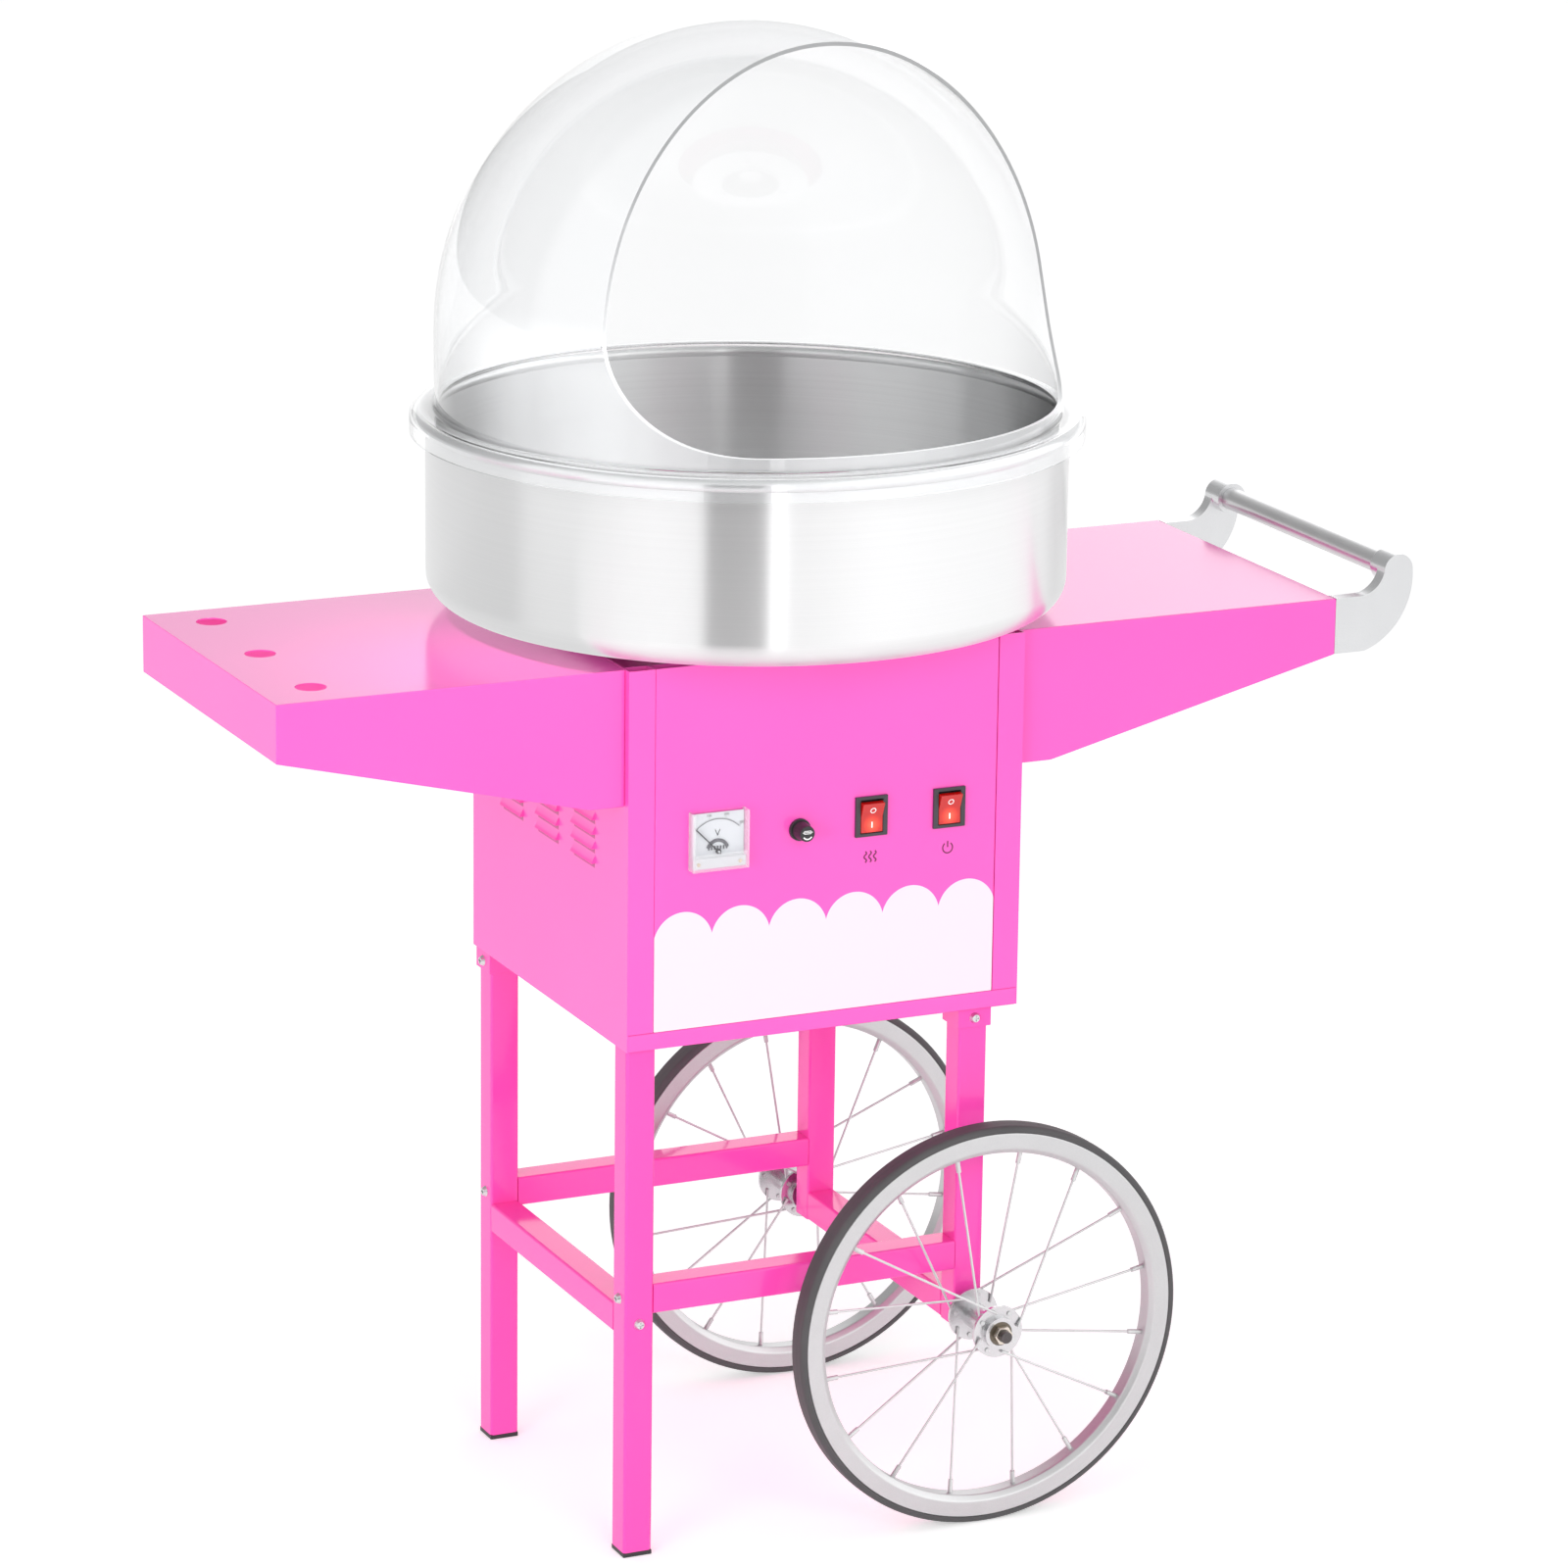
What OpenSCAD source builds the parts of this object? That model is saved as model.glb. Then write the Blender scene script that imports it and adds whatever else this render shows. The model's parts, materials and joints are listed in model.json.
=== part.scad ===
// Cotton candy cart: a sheet-steel cabinet on a wheeled under-frame, with a shelf at each side,
// a push handle, a steel floss bowl under a clear dome, and the spinning sugar head inside it.
// All lengths are in millimetres. The pieces are drawn with the spindle's axis at x = y = 0 and
// the ground at z = 0, and place() then moves the cart so that its box is centred on the origin.

/* [Cabinet] */
// Width of the cabinet, side to side
cabinet_w = 346; // [330:1:370]
// Depth of the cabinet, front to back
cabinet_d = 324; // [310:1:350]
// Height of the cabinet
cabinet_h = 312; // [300:1:340]
// Height of the cabinet's underside above the ground
cabinet_z = 433; // [410:1:460]
// Thickness of the steel sheet
sheet = 1.2; // [1:0.1:1.5]
// Width of the strip down each side of the front
strip_w = 22.5; // [20:0.5:26]
// Depth of the folded returns
fold_d = 14; // [12:1:18]
// Height of the floor tray's front lip
lip_h = 14; // [13:1:18]
// Depth of the top plate below the cabinet's top edge
top_recess = 9; // [7:1:12]
// Gap at the seams between sheets
seam = 0.4; // [0.3:0.1:0.6]
// Length of one cooling louvre
louvre_len = 43; // [36:1:50]
// Number of louvre rows on each side
louvre_rows = 5; // [3:1:5]
// Height from one louvre row to the next
louvre_pitch = 12; // [11:0.5:12.5]

/* [Shelves] */
// Length of each shelf, out from the cabinet
shelf_len = 290; // [260:1:320]
// Depth of each shelf, front to back
shelf_d = 310; // [290:1:320]
// Height of the shelf's skirt at the cabinet
shelf_inner_h = 111; // [100:1:115]
// Height of the shelf's skirt at its outer end
shelf_outer_h = 47; // [44:1:55]
// Length of the level stretch of the skirt's lower edge
shelf_flat = 28; // [20:1:40]
// Radius of the holes that hold paper cones
cone_hole_r = 12.5; // [11:0.5:15]
// Distance between the cone holes
cone_pitch = 113; // [95:1:120]
// Distance of the cone holes from the shelf's outer end
cone_edge = 44; // [36:1:60]

/* [Handle] */
// Thickness of a handle bracket
horn_t = 12; // [10:0.5:15]
// Radius of the bracket's outer curve
horn_outer_r = 63; // [60:0.5:66]
// Radius of the bracket's inner curve
horn_inner_r = 23.3; // [22:0.1:25]
// Height of the handle tube above the shelf
handle_rise = 19; // [17:0.5:22]
// Radius of the handle tube
handle_r = 9.5; // [8.5:0.1:10.5]
// Wall of the handle tube
handle_wall = 1.5; // [1.2:0.1:2]

/* [Under-frame] */
// Width of the square legs and rails
leg_w = 25; // [22:0.5:27]
// Wall of the square tube
tube_wall = 1.5; // [1.2:0.1:2]
// Inset of the left legs from the cabinet's side
left_inset = 3; // [2.5:0.5:8]
// Inset of the right legs from the cabinet's side
right_inset = 23; // [18:0.5:30]
// Inset of the legs from the cabinet's front and back
depth_inset = 7; // [6:0.5:12]
// Height of the front and rear rails above the ground
rail_z = 220; // [214:1:250]
// Height of the left cross rail above the ground
cross_rail_z = 200; // [180:1:240]
// Height of a leg socket
socket_h = 17; // [15:0.5:22]
// Wall of a leg socket
socket_wall = 2; // [1.5:0.1:2.5]
// Thickness of the foot on a leg's end cap
cap_t = 4; // [3:0.5:6]

/* [Wheels] */
// Outer radius of the wheels
wheel_r = 171; // [165:1:178]
// Width of the solid tyre
tyre_w = 21; // [19:0.5:23]
// Radial thickness of the tyre outside the rim
tyre_t = 5.5; // [5:0.5:8]
// Radial depth of the rim
rim_depth = 18; // [17:0.5:22]
// Wall of the rim
rim_wall = 2; // [1.5:0.1:2.5]
// Distance of a wheel's middle from the leg beside it
wheel_offset = 33; // [32:0.5:38]
// Distance between a hub's two flanges
flange_gap = 45; // [42:0.5:48]
// Radius of a hub flange
flange_r = 22; // [21:0.5:24]
// Thickness of a hub flange
flange_t = 3; // [2.5:0.1:3.5]
// Radius of the circle of spoke holes
spoke_circle_r = 17.5; // [17:0.1:18.5]
// Radius of a spoke
spoke_r = 1; // [0.8:0.1:1.1]
// Radius of the axle
axle_r = 5; // [4.5:0.1:5.5]

/* [Bowl and dome] */
// Outer radius of the bowl
bowl_r = 260; // [250:1:270]
// Height of the bowl
bowl_h = 153; // [140:1:170]
// Thickness of the bowl's steel
bowl_t = 1; // [0.8:0.1:1.5]
// Height of the bowl's underside above the cabinet's top edge
bowl_gap = 11; // [8:1:16]
// Radius of the bowl's bottom corner
bowl_corner_r = 22; // [16:1:28]
// Radius of the bowl's rolled rim
bead_r = 5; // [4:0.5:6]
// Radius of the hole in the bowl's floor
collar_r = 96; // [92:1:97]
// Inset of the dome's wall from the bowl's wall
dome_inset = 7; // [5:1:12]
// Height of the dome's upright wall above the bowl's rim
dome_wall_h = 66; // [55:1:80]
// Thickness of the dome
dome_t = 3; // [2.5:0.1:4]
// Clearance between the bowl's rolled rim and the dome's rim ring
ring_clear = 3; // [2:0.5:6]
// Depth that the rim ring hangs below the bowl's rim
dome_ring_drop = 16; // [12:1:22]
// Height of the dome's mouth above the bowl's rim
mouth_sill = 14; // [11:1:24]
// Distance of the mouth's plane from the spindle, level with the dome's centre
mouth_y = 100; // [90:1:115]
// Radius of the mouth's lower corners
mouth_corner_r = 102; // [85:1:112]
// Lean of the mouth's plane, in degrees
mouth_lean = 5; // [0:1:9]
// Turn of the mouth away from the front, towards the handle, in degrees
mouth_turn = 16; // [0:1:30]

/* [Drive and head] */
// Radius of the motor
motor_r = 50; // [40:1:56]
// Height of the motor
motor_h = 112; // [90:1:130]
// Radius of the motor shaft
shaft_r = 6; // [5:0.1:7]
// Height of the motor's rubber buffers
buffer_h = 40; // [37:1:48]
// Radius of the spinning head
head_r = 66; // [62:0.5:67]
// Height of the head's screen
screen_h = 26; // [24:1:32]

/* [Controls] */
// Width of the meter's case
meter_w = 49; // [45:0.5:52]
// Height of the meter's case
meter_h = 48; // [45:0.5:52]
// Depth of the meter's case
meter_t = 10; // [9:0.5:12]
// Place of the meter from the middle of the panel, as a share of the cabinet's width
meter_x_share = -0.28; // [-0.3:0.01:-0.26]
// Place of the fuse holder, as a share of the cabinet's width
fuse_x_share = -0.072; // [-0.09:0.002:-0.05]
// Place of the heat switch, as a share of the cabinet's width
heat_x_share = 0.11; // [0.09:0.01:0.14]
// Place of the power switch, as a share of the cabinet's width
power_x_share = 0.31; // [0.28:0.01:0.33]
// Height of the meter and fuse above the cabinet's underside
meter_up = 169; // [150:1:185]
// Height of the switches above the cabinet's underside
switch_up = 173.5; // [150:0.5:190]
// Width of a switch's bezel
bezel_w = 28; // [27:0.5:31]
// Height of a switch's bezel
bezel_h = 33; // [32:0.5:36]
// Angle from on to off of a rocker, in degrees
rock_angle = 20; // [14:1:22]

/* [Hidden] */
$fn = 64;

// Overrun of every cut, and the clearances
over = 2;
fit = 0.05;
bolt_gap = 0.1;
rest_gap = 0.3;

// Cabinet
half_w = cabinet_w / 2;
half_d = cabinet_d / 2;
cabinet_top = cabinet_z + cabinet_h;
panel_half_w = half_w - strip_w - seam;
front_z = cabinet_z + lip_h + seam;
front_h = cabinet_top - front_z;
plate_z = cabinet_top - top_recess;
plate_front = -half_d + fold_d + seam;
tray_flange_h = 10;
spindle_hole_r = 30;
louvre_rise = 7;
louvre_out = 3.5;
louvre_low = 139;
louvre_column_pitch = 74.5;
panel_screw_shares = [0.12, 0.5, 0.88];

// Small bolts and screws
bolt_r = 2.5;
bolt_head_r = 4.6;
bolt_head_h = 3;
bolt_nut_h = 4;
bolt_stub = 2;
recess_w = 1.1;
recess_l = 5;
recess_depth = 1.2;

// Shelves
shelf_bolt_y_shares = [-0.36, 0.36];
shelf_bolt_z_shares = [0.3, 0.75];

// Handle
shelf_end = half_w + shelf_len;
horn_outer_x = 9;
horn_outer_z = 13;
horn_inner_x = 22;
tip_out = horn_outer_x + sqrt(pow(horn_outer_r, 2) - pow(handle_rise - horn_outer_z, 2));
tip_in = horn_inner_x + sqrt(pow(horn_inner_r, 2) - pow(handle_rise - horn_inner_r, 2));
tip_x = (tip_out + tip_in) / 2;
tip_r = (tip_out - tip_in) / 2;
reach = horn_outer_x + horn_outer_r;
boss_len = 12;
boss_floor = 5;
handle_screw_len = 12;
handle_screw_z_shares = [0.3, 0.72];

// Under-frame
left_leg_x = -half_w + left_inset + leg_w / 2;
right_leg_x = half_w - right_inset - leg_w / 2;
leg_y = half_d - depth_inset - leg_w / 2;
leg_face_y = leg_y + leg_w / 2;
rail_len = right_leg_x - left_leg_x - leg_w;
cross_len = 2 * leg_y - leg_w;
end_plate_t = 3;
socket_gap = 0.25;
socket_half = leg_w / 2 + socket_gap + socket_wall;
socket_screw_drop = 9;
inner_rise = lip_h - 2 * sheet;
plug_h = 15;
plug_gap = 0.2;
frame_screw_len = leg_w + end_plate_t + bolt_head_h;

// Wheels
axle_z = wheel_r;
wheel_y = leg_face_y + wheel_offset;
rim_r = wheel_r - tyre_t;
rim_inner_r = rim_r - rim_depth;
rim_side = 13.5;
tyre_round = 4;
tongue_depth = 4;
tongue_w = 11;
tongue_gap = 0.2;
hub_r = 10.5;
hub_end_r = 13.5;
hub_end = 5;
hub_bore_gap = 1.5;
bearing_r = 10;
bearing_w = 8;
spokes_per_flange = 8;
spoke_lead_angle = 45;
spoke_head_r = 1.9;
spoke_head_h = 1;
elbow_r = 1.2;
spoke_stand = 1.4;
nipple_r = 2;
nipple_len = 11;
nipple_head_r = 3;
nipple_head_h = 2;
nipple_head_lift = 0.8;
nut_r = 8;
nut_t = 6;
axle_stub = 5;
hub_half = flange_gap / 2 + flange_t / 2 + hub_end;
inner_nut_t = wheel_offset - hub_half - rest_gap;
axle_half = wheel_y + hub_half + rest_gap + nut_t + axle_stub;

// Bowl and dome
bowl_z = cabinet_top + bowl_gap;
rim_z = bowl_z + bowl_h;
bead_out = 2;
collar_h = 6;
dome_r = bowl_r - dome_inset;
dome_ring_r = bowl_r + bead_out + bead_r + ring_clear + dome_t;
dome_z = rim_z + dome_wall_h;
ring_top = rim_z + rest_gap + dome_t;
ring_round = 8;

// Drive and head
buffer_r = 9;
bowl_buffer_r = 12;
bowl_buffer_ring = 110;
bracket_half = 75;
bracket_t = 3;
bracket_hole_r = 20;
buffer_place = 60;
bracket_top = plate_z - sheet - buffer_h;
motor_top = bracket_top - bracket_t;
motor_bell_r_share = 0.8;
motor_bell_h = 14;
slip_core_r = 20;
slip_ring_r = 22;
slip_ring_h = 7;
slip_space = 4;
slip_z = bracket_top + slip_space;
slip_h = 3 * slip_space + 2 * slip_ring_h;
brush_w = 8;
brush_h = 5;
brush_len = 16;
holder_from_ring = 4;
holder_l = 24;
holder_w = 20;
holder_over = 5;
head_gap = 8;
head_z = bowl_z + head_gap;
head_floor_t = 4;
head_rim_t = 3;
head_rim_h = 16;
head_hub_r = 14;
head_hub_h = 30;
heater_r_share = 0.84;
heater_wire_r = 2.2;
heater_low = 12;
heater_step = 9;
post_r = 4;
stay_r = 3;
stay_circle_share = 0.66;
screen_t = 1;
screen_slots = 36;
screen_slot_w = 1.6;
screen_margin = 3;
cap_plate_t = 3;
pour_r_share = 0.48;
pour_lip = 5;
pour_lip_t = 2;
cap_nut_r = 5;
cap_nut_h = 4;
cap_z = head_z + head_rim_h + screen_h;
shaft_low = 6;
shaft_top = head_z + head_hub_h;

// Controls
meter_x = meter_x_share * cabinet_w;
fuse_x = fuse_x_share * cabinet_w;
heat_x = heat_x_share * cabinet_w;
power_x = power_x_share * cabinet_w;
meter_z = cabinet_z + meter_up;
switch_z = cabinet_z + switch_up;
case_t = 1.5;
movement_r = 19;
movement_len = 28;
dial_t = 1;
dial_gap = 1;
cover_h = 8;
cover_t = 4;
needle_drop = 9.5;
needle_pin_r = 0.8;
needle_len = 27;
needle_w = 0.9;
needle_t = 0.6;
needle_tail = 3.5;
needle_hub_r = 2.2;
needle_rest_angle = 45;
fuse_flange_r = 9;
fuse_flange_t = 3;
fuse_barrel_r = 6.5;
fuse_barrel_len = 34;
fuse_bore_r = 4.2;
fuse_r = 2.6;
fuse_len = 20;
fuse_back = 6;
fuse_grip = 5;
fuse_low = fuse_flange_t + rest_gap;
fuse_cap_r = 7.6;
fuse_cap_tip_r = 6.4;
fuse_cap_len = 13;
fuse_stem_r = 3.9;
fuse_stem_len = 10;
fuse_stem_rise = 6;
bezel_t = 2.5;
switch_body_w = 24;
switch_body_h = 30.5;
switch_body_t = 22;
panel_gap = 0.2;
rocker_w = 19;
rocker_gap = 0.5;
rocker_h = 25;
rocker_end = 5;
rocker_dip = 2.6;
rocker_back = 6;
rocker_pin_r = 1.5;
rocker_pin_len = 2;
spade_w = 6;
spade_t = 0.8;
spade_len = 9;
spade_apart = 14;
gland_inset = 73;
gland_x = half_w - gland_inset;
gland_up = 52;
gland_r = 9;
gland_tip_r = 7;
gland_nut_r = 14;
gland_nut_h = 5;
gland_bore_r = 4;
block_l = 60;
block_w = 22;
block_h = 18;
block_inset = 68;
block_back = 62;
block_x = half_w - block_inset;
block_y = half_d - block_back;
block_ways = 5;
block_screw_r = 3;
block_screw_depth = 4;

// Colours of the finishes
pink = [1, 0.35, 0.72];
dark_pink = [0.85, 0.25, 0.6];
steel = [0.78, 0.79, 0.8];
bright = [0.88, 0.88, 0.9];
black = [0.08, 0.08, 0.09];
rubber = [0.2, 0.2, 0.2];
brass = [0.8, 0.66, 0.35];
clear = [0.85, 0.92, 0.95, 0.35];
white = [0.95, 0.95, 0.95];
red = [0.85, 0.05, 0.05];

// Moves the cart so that its box is centred over the origin
module place() {
    translate([-reach / 2, 0, 0]) children();
}

// A block given by its two far corners
module span(low, high) {
    translate(low) cube(high - low);
}

// A copy at each side, and one mirrored to the other
module both_sides() {
    children();
    mirror([1, 0, 0]) children();
}

// A pan-head screw along -Z, with the underside of its head at z = 0
module pan_screw(len, r = bolt_r, head_r = bolt_head_r, head_h = bolt_head_h) {
    difference() {
        union() {
            cylinder(h = head_h, r1 = head_r, r2 = head_r - head_h / 2);
            translate([0, 0, -len]) cylinder(h = len, r = r);
        }
        translate([0, 0, head_h]) {
            cube([recess_l, recess_w, 2 * recess_depth], center = true);
            cube([recess_w, recess_l, 2 * recess_depth], center = true);
        }
    }
}

// A square tube along Z from z = 0
module square_tube(len) {
    difference() {
        translate([-leg_w / 2, -leg_w / 2, 0]) cube([leg_w, leg_w, len]);
        translate([-leg_w / 2 + tube_wall, -leg_w / 2 + tube_wall, -over])
            cube([leg_w - 2 * tube_wall, leg_w - 2 * tube_wall, len + 2 * over]);
    }
}

// A square tube along Z, closed at both ends by drilled plates
module closed_rail(len) {
    difference() {
        translate([-leg_w / 2, -leg_w / 2, 0]) cube([leg_w, leg_w, len]);
        translate([-leg_w / 2 + tube_wall, -leg_w / 2 + tube_wall, end_plate_t])
            cube([leg_w - 2 * tube_wall, leg_w - 2 * tube_wall, len - 2 * end_plate_t]);
        translate([0, 0, -over]) cylinder(h = len + 2 * over, r = bolt_r + bolt_gap);
    }
}

// A drilled hole through a leg, along X or Y
module leg_hole(z, turn, r = bolt_r + bolt_gap) {
    translate([0, 0, z]) rotate([90, 0, turn])
        cylinder(h = leg_w + 2 * over, r = r, center = true);
}

// Legs

module front_left_leg() {
    color(pink) translate([left_leg_x, -leg_y, 0]) difference() {
        translate([0, 0, cap_t]) square_tube(cabinet_z + inner_rise - cap_t);
        leg_hole(rail_z, 90);
        leg_hole(cross_rail_z, 0);
    }
}

module rear_left_leg() {
    color(pink) translate([left_leg_x, leg_y, 0]) difference() {
        translate([0, 0, cap_t]) square_tube(cabinet_z - cap_t);
        leg_hole(rail_z, 90);
        leg_hole(cross_rail_z, 0);
        leg_hole(cabinet_z - socket_screw_drop, 90);
    }
}

// A short leg that carries one end of the axle
module right_leg(screw_turn) {
    low = axle_z - leg_w / 2;
    difference() {
        translate([0, 0, low]) square_tube(cabinet_z - low);
        leg_hole(axle_z, 0, axle_r + fit);
        leg_hole(rail_z, 90);
        leg_hole(cabinet_z - socket_screw_drop, screw_turn);
    }
}

module front_right_leg() {
    color(pink) translate([right_leg_x, -leg_y, 0]) right_leg(0);
}

module rear_right_leg() {
    color(pink) translate([right_leg_x, leg_y, 0]) right_leg(0);
}

// A square collar that hangs from the cabinet's floor around a leg's top
module socket_collar(screw_turn) {
    translate([0, 0, cabinet_z - socket_h]) difference() {
        translate([-socket_half, -socket_half, 0])
            cube([2 * socket_half, 2 * socket_half, socket_h]);
        translate([-leg_w / 2 - socket_gap, -leg_w / 2 - socket_gap, -over])
            cube([leg_w + 2 * socket_gap, leg_w + 2 * socket_gap, socket_h + 2 * over]);
        translate([0, 0, socket_h - socket_screw_drop]) rotate([90, 0, screw_turn])
            cylinder(h = 3 * leg_w, r = bolt_r + bolt_gap, center = true);
    }
}

// The front left leg runs up into the cabinet, against an angle on the floor
module socket_angle() {
    near = leg_w / 2 + socket_gap;
    far = near + socket_wall;
    low = cabinet_z + sheet;
    high = cabinet_z + inner_rise;
    span([near, -leg_w / 2, low], [far, far, high]);
    span([-leg_w / 2, near, low], [far, far, high]);
}

module leg_sockets() {
    color(pink) {
        translate([left_leg_x, -leg_y, 0]) socket_angle();
        translate([left_leg_x, leg_y, 0]) socket_collar(90);
        translate([right_leg_x, -leg_y, 0]) socket_collar(0);
        translate([right_leg_x, leg_y, 0]) socket_collar(0);
    }
}

module leg_end_caps() {
    plug = leg_w - 2 * tube_wall - 2 * plug_gap;
    color(black) for (y = [-leg_y, leg_y]) translate([left_leg_x, y, 0]) {
        translate([-leg_w / 2, -leg_w / 2, 0]) cube([leg_w, leg_w, cap_t]);
        translate([-plug / 2, -plug / 2, 0]) cube([plug, plug, cap_t + plug_h]);
    }
}

// Rails and beam

module long_rail(y) {
    translate([left_leg_x + leg_w / 2, y, rail_z]) rotate([0, 90, 0]) closed_rail(rail_len);
}

module front_rail() {
    color(pink) long_rail(-leg_y);
}

module rear_rail() {
    color(pink) long_rail(leg_y);
}

module left_cross_rail() {
    color(pink) translate([left_leg_x, cross_len / 2, cross_rail_z]) rotate([90, 0, 0])
        closed_rail(cross_len);
}

// The beam between the short legs is drilled for the axle through its end plates
module axle_beam() {
    color(pink) translate([right_leg_x, cross_len / 2, axle_z]) rotate([90, 0, 0])
        difference() {
            closed_rail(cross_len);
            translate([0, 0, -over]) cylinder(h = cross_len + 2 * over, r = axle_r + fit);
        }
}

module frame_screws() {
    left_face = left_leg_x - leg_w / 2;
    right_face = right_leg_x + leg_w / 2;
    socket_z = cabinet_z - socket_screw_drop;
    socket_len = socket_wall + socket_gap + leg_w / 2;
    color(steel) {
        for (y = [-leg_y, leg_y]) {
            translate([left_face, y, rail_z]) rotate([0, -90, 0]) pan_screw(frame_screw_len);
            translate([right_face, y, rail_z]) rotate([0, 90, 0]) pan_screw(frame_screw_len);
        }
        translate([left_leg_x, -leg_face_y, cross_rail_z]) rotate([90, 0, 0])
            pan_screw(frame_screw_len);
        translate([left_leg_x, leg_face_y, cross_rail_z]) rotate([-90, 0, 0])
            pan_screw(frame_screw_len);
        translate([left_leg_x - socket_half, leg_y, socket_z]) rotate([0, -90, 0])
            pan_screw(socket_len);
        translate([right_leg_x, -leg_y - socket_half, socket_z]) rotate([90, 0, 0])
            pan_screw(socket_len);
        translate([right_leg_x, leg_y + socket_half, socket_z]) rotate([-90, 0, 0])
            pan_screw(socket_len);
    }
}

// Axle and wheels

module axle() {
    color(steel) translate([right_leg_x, 0, axle_z]) rotate([90, 0, 0])
        cylinder(h = 2 * axle_half, r = axle_r, center = true);
}

// A nut on the axle, its inner face at z = 0
module axle_nut(t) {
    difference() {
        cylinder(h = t, r = nut_r, $fn = 6);
        translate([0, 0, -over]) cylinder(h = t + 2 * over, r = axle_r + fit);
    }
}

module axle_nuts() {
    color(brass) for (side = [0, 180])
        translate([right_leg_x, 0, axle_z]) rotate([90, 0, side]) {
            translate([0, 0, leg_face_y]) axle_nut(inner_nut_t);
            translate([0, 0, wheel_y + hub_half + rest_gap]) axle_nut(nut_t);
        }
}

// Puts a wheel piece, drawn about Z with its outer side up, on its end of the axle
module on_axle(rear) {
    translate([right_leg_x, rear ? wheel_y : -wheel_y, axle_z]) rotate([rear ? -90 : 90, 0, 0])
        children();
}

// Solid tyre: a tread with round corners, and a tongue that sits in the rim's channel
module tyre() {
    round_r = wheel_r - tyre_round;
    flat_w = tyre_w - 2 * tyre_round;
    rotate_extrude($fn = 128) {
        translate([rim_r, -tyre_w / 2]) square([round_r - rim_r, tyre_w]);
        translate([round_r, -flat_w / 2]) square([tyre_round, flat_w]);
        for (side = [-1, 1]) intersection() {
            translate([round_r, side * flat_w / 2]) circle(r = tyre_round);
            translate([round_r, side > 0 ? flat_w / 2 : -tyre_w / 2]) square(tyre_round);
        }
        translate([rim_r - tongue_depth + tongue_gap, -tongue_w / 2 + tongue_gap])
            square([tongue_depth, tongue_w - 2 * tongue_gap]);
    }
}

// The points where a spoke leaves its flange and where it meets the rim
function spoke_on_bed(i) = i % 2 == 0 ? 1 : -1;
function spoke_turn(i, outer) = (i + (outer ? 1 : 3) / 4) * 360 / spokes_per_flange;
function spoke_side(outer) = outer ? 1 : -1;
function spoke_lift(i, outer) =
    flange_t / 2 + spoke_r + bolt_gap + (spoke_on_bed(i) == spoke_side(outer) ? spoke_stand : 0);
function spoke_foot_z(i, outer) =
    spoke_side(outer) * flange_gap / 2 + spoke_on_bed(i) * spoke_lift(i, outer);
function spoke_foot(i, outer) = [
    spoke_circle_r * cos(spoke_turn(i, outer)),
    spoke_circle_r * sin(spoke_turn(i, outer)),
    spoke_foot_z(i, outer)
];
function spoke_end_turn(i, outer) = spoke_turn(i, outer) + spoke_on_bed(i) * spoke_lead_angle;
function spoke_end(i, outer) = [
    rim_inner_r * cos(spoke_end_turn(i, outer)),
    rim_inner_r * sin(spoke_end_turn(i, outer)),
    0
];

// Turns +Z to run from a spoke's foot towards the rim
module along_spoke(i, outer) {
    way = spoke_end(i, outer) - spoke_foot(i, outer);
    translate(spoke_foot(i, outer)) rotate([0, acos(way[2] / norm(way)), atan2(way[1], way[0])])
        children();
}

function spoke_len(i, outer) = norm(spoke_end(i, outer) - spoke_foot(i, outer));

// One spoke: a straight wire, its elbow, and the headed end that goes through the flange
module spoke(i, outer) {
    foot = spoke_foot(i, outer);
    through = spoke_lift(i, outer) + flange_t / 2 + spoke_r + bolt_gap;
    along_spoke(i, outer) cylinder(h = spoke_len(i, outer), r = spoke_r, $fn = 24);
    translate(foot) {
        sphere(r = elbow_r, $fn = 24);
        mirror([0, 0, spoke_on_bed(i) > 0 ? 1 : 0]) {
            cylinder(h = through, r = spoke_r, $fn = 24);
            translate([0, 0, through - spoke_r])
                cylinder(h = spoke_head_h, r = spoke_head_r, $fn = 24);
        }
    }
}

// A nipple on a spoke's end, with its head inside the rim
module nipple(i, outer) {
    head_at = rim_wall + nipple_head_lift;
    along_spoke(i, outer) translate([0, 0, spoke_len(i, outer)]) difference() {
        union() {
            translate([0, 0, -nipple_len]) cylinder(h = nipple_len + head_at, r = nipple_r, $fn = 24);
            translate([0, 0, head_at]) cylinder(h = nipple_head_h, r = nipple_head_r, $fn = 24);
        }
        translate([0, 0, -nipple_len - over])
            cylinder(h = nipple_len + over + bolt_gap, r = spoke_r + fit, $fn = 24);
    }
}

// The hole for a nipple in the rim's inner wall
module nipple_hole(i, outer) {
    along_spoke(i, outer) translate([0, 0, spoke_len(i, outer) - rim_wall])
        cylinder(h = 4 * rim_wall, r = nipple_r + bolt_gap, $fn = 24);
}

module wheel_spokes() {
    for (outer = [false, true]) for (i = [0 : spokes_per_flange - 1]) {
        spoke(i, outer);
        nipple(i, outer);
    }
}

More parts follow.
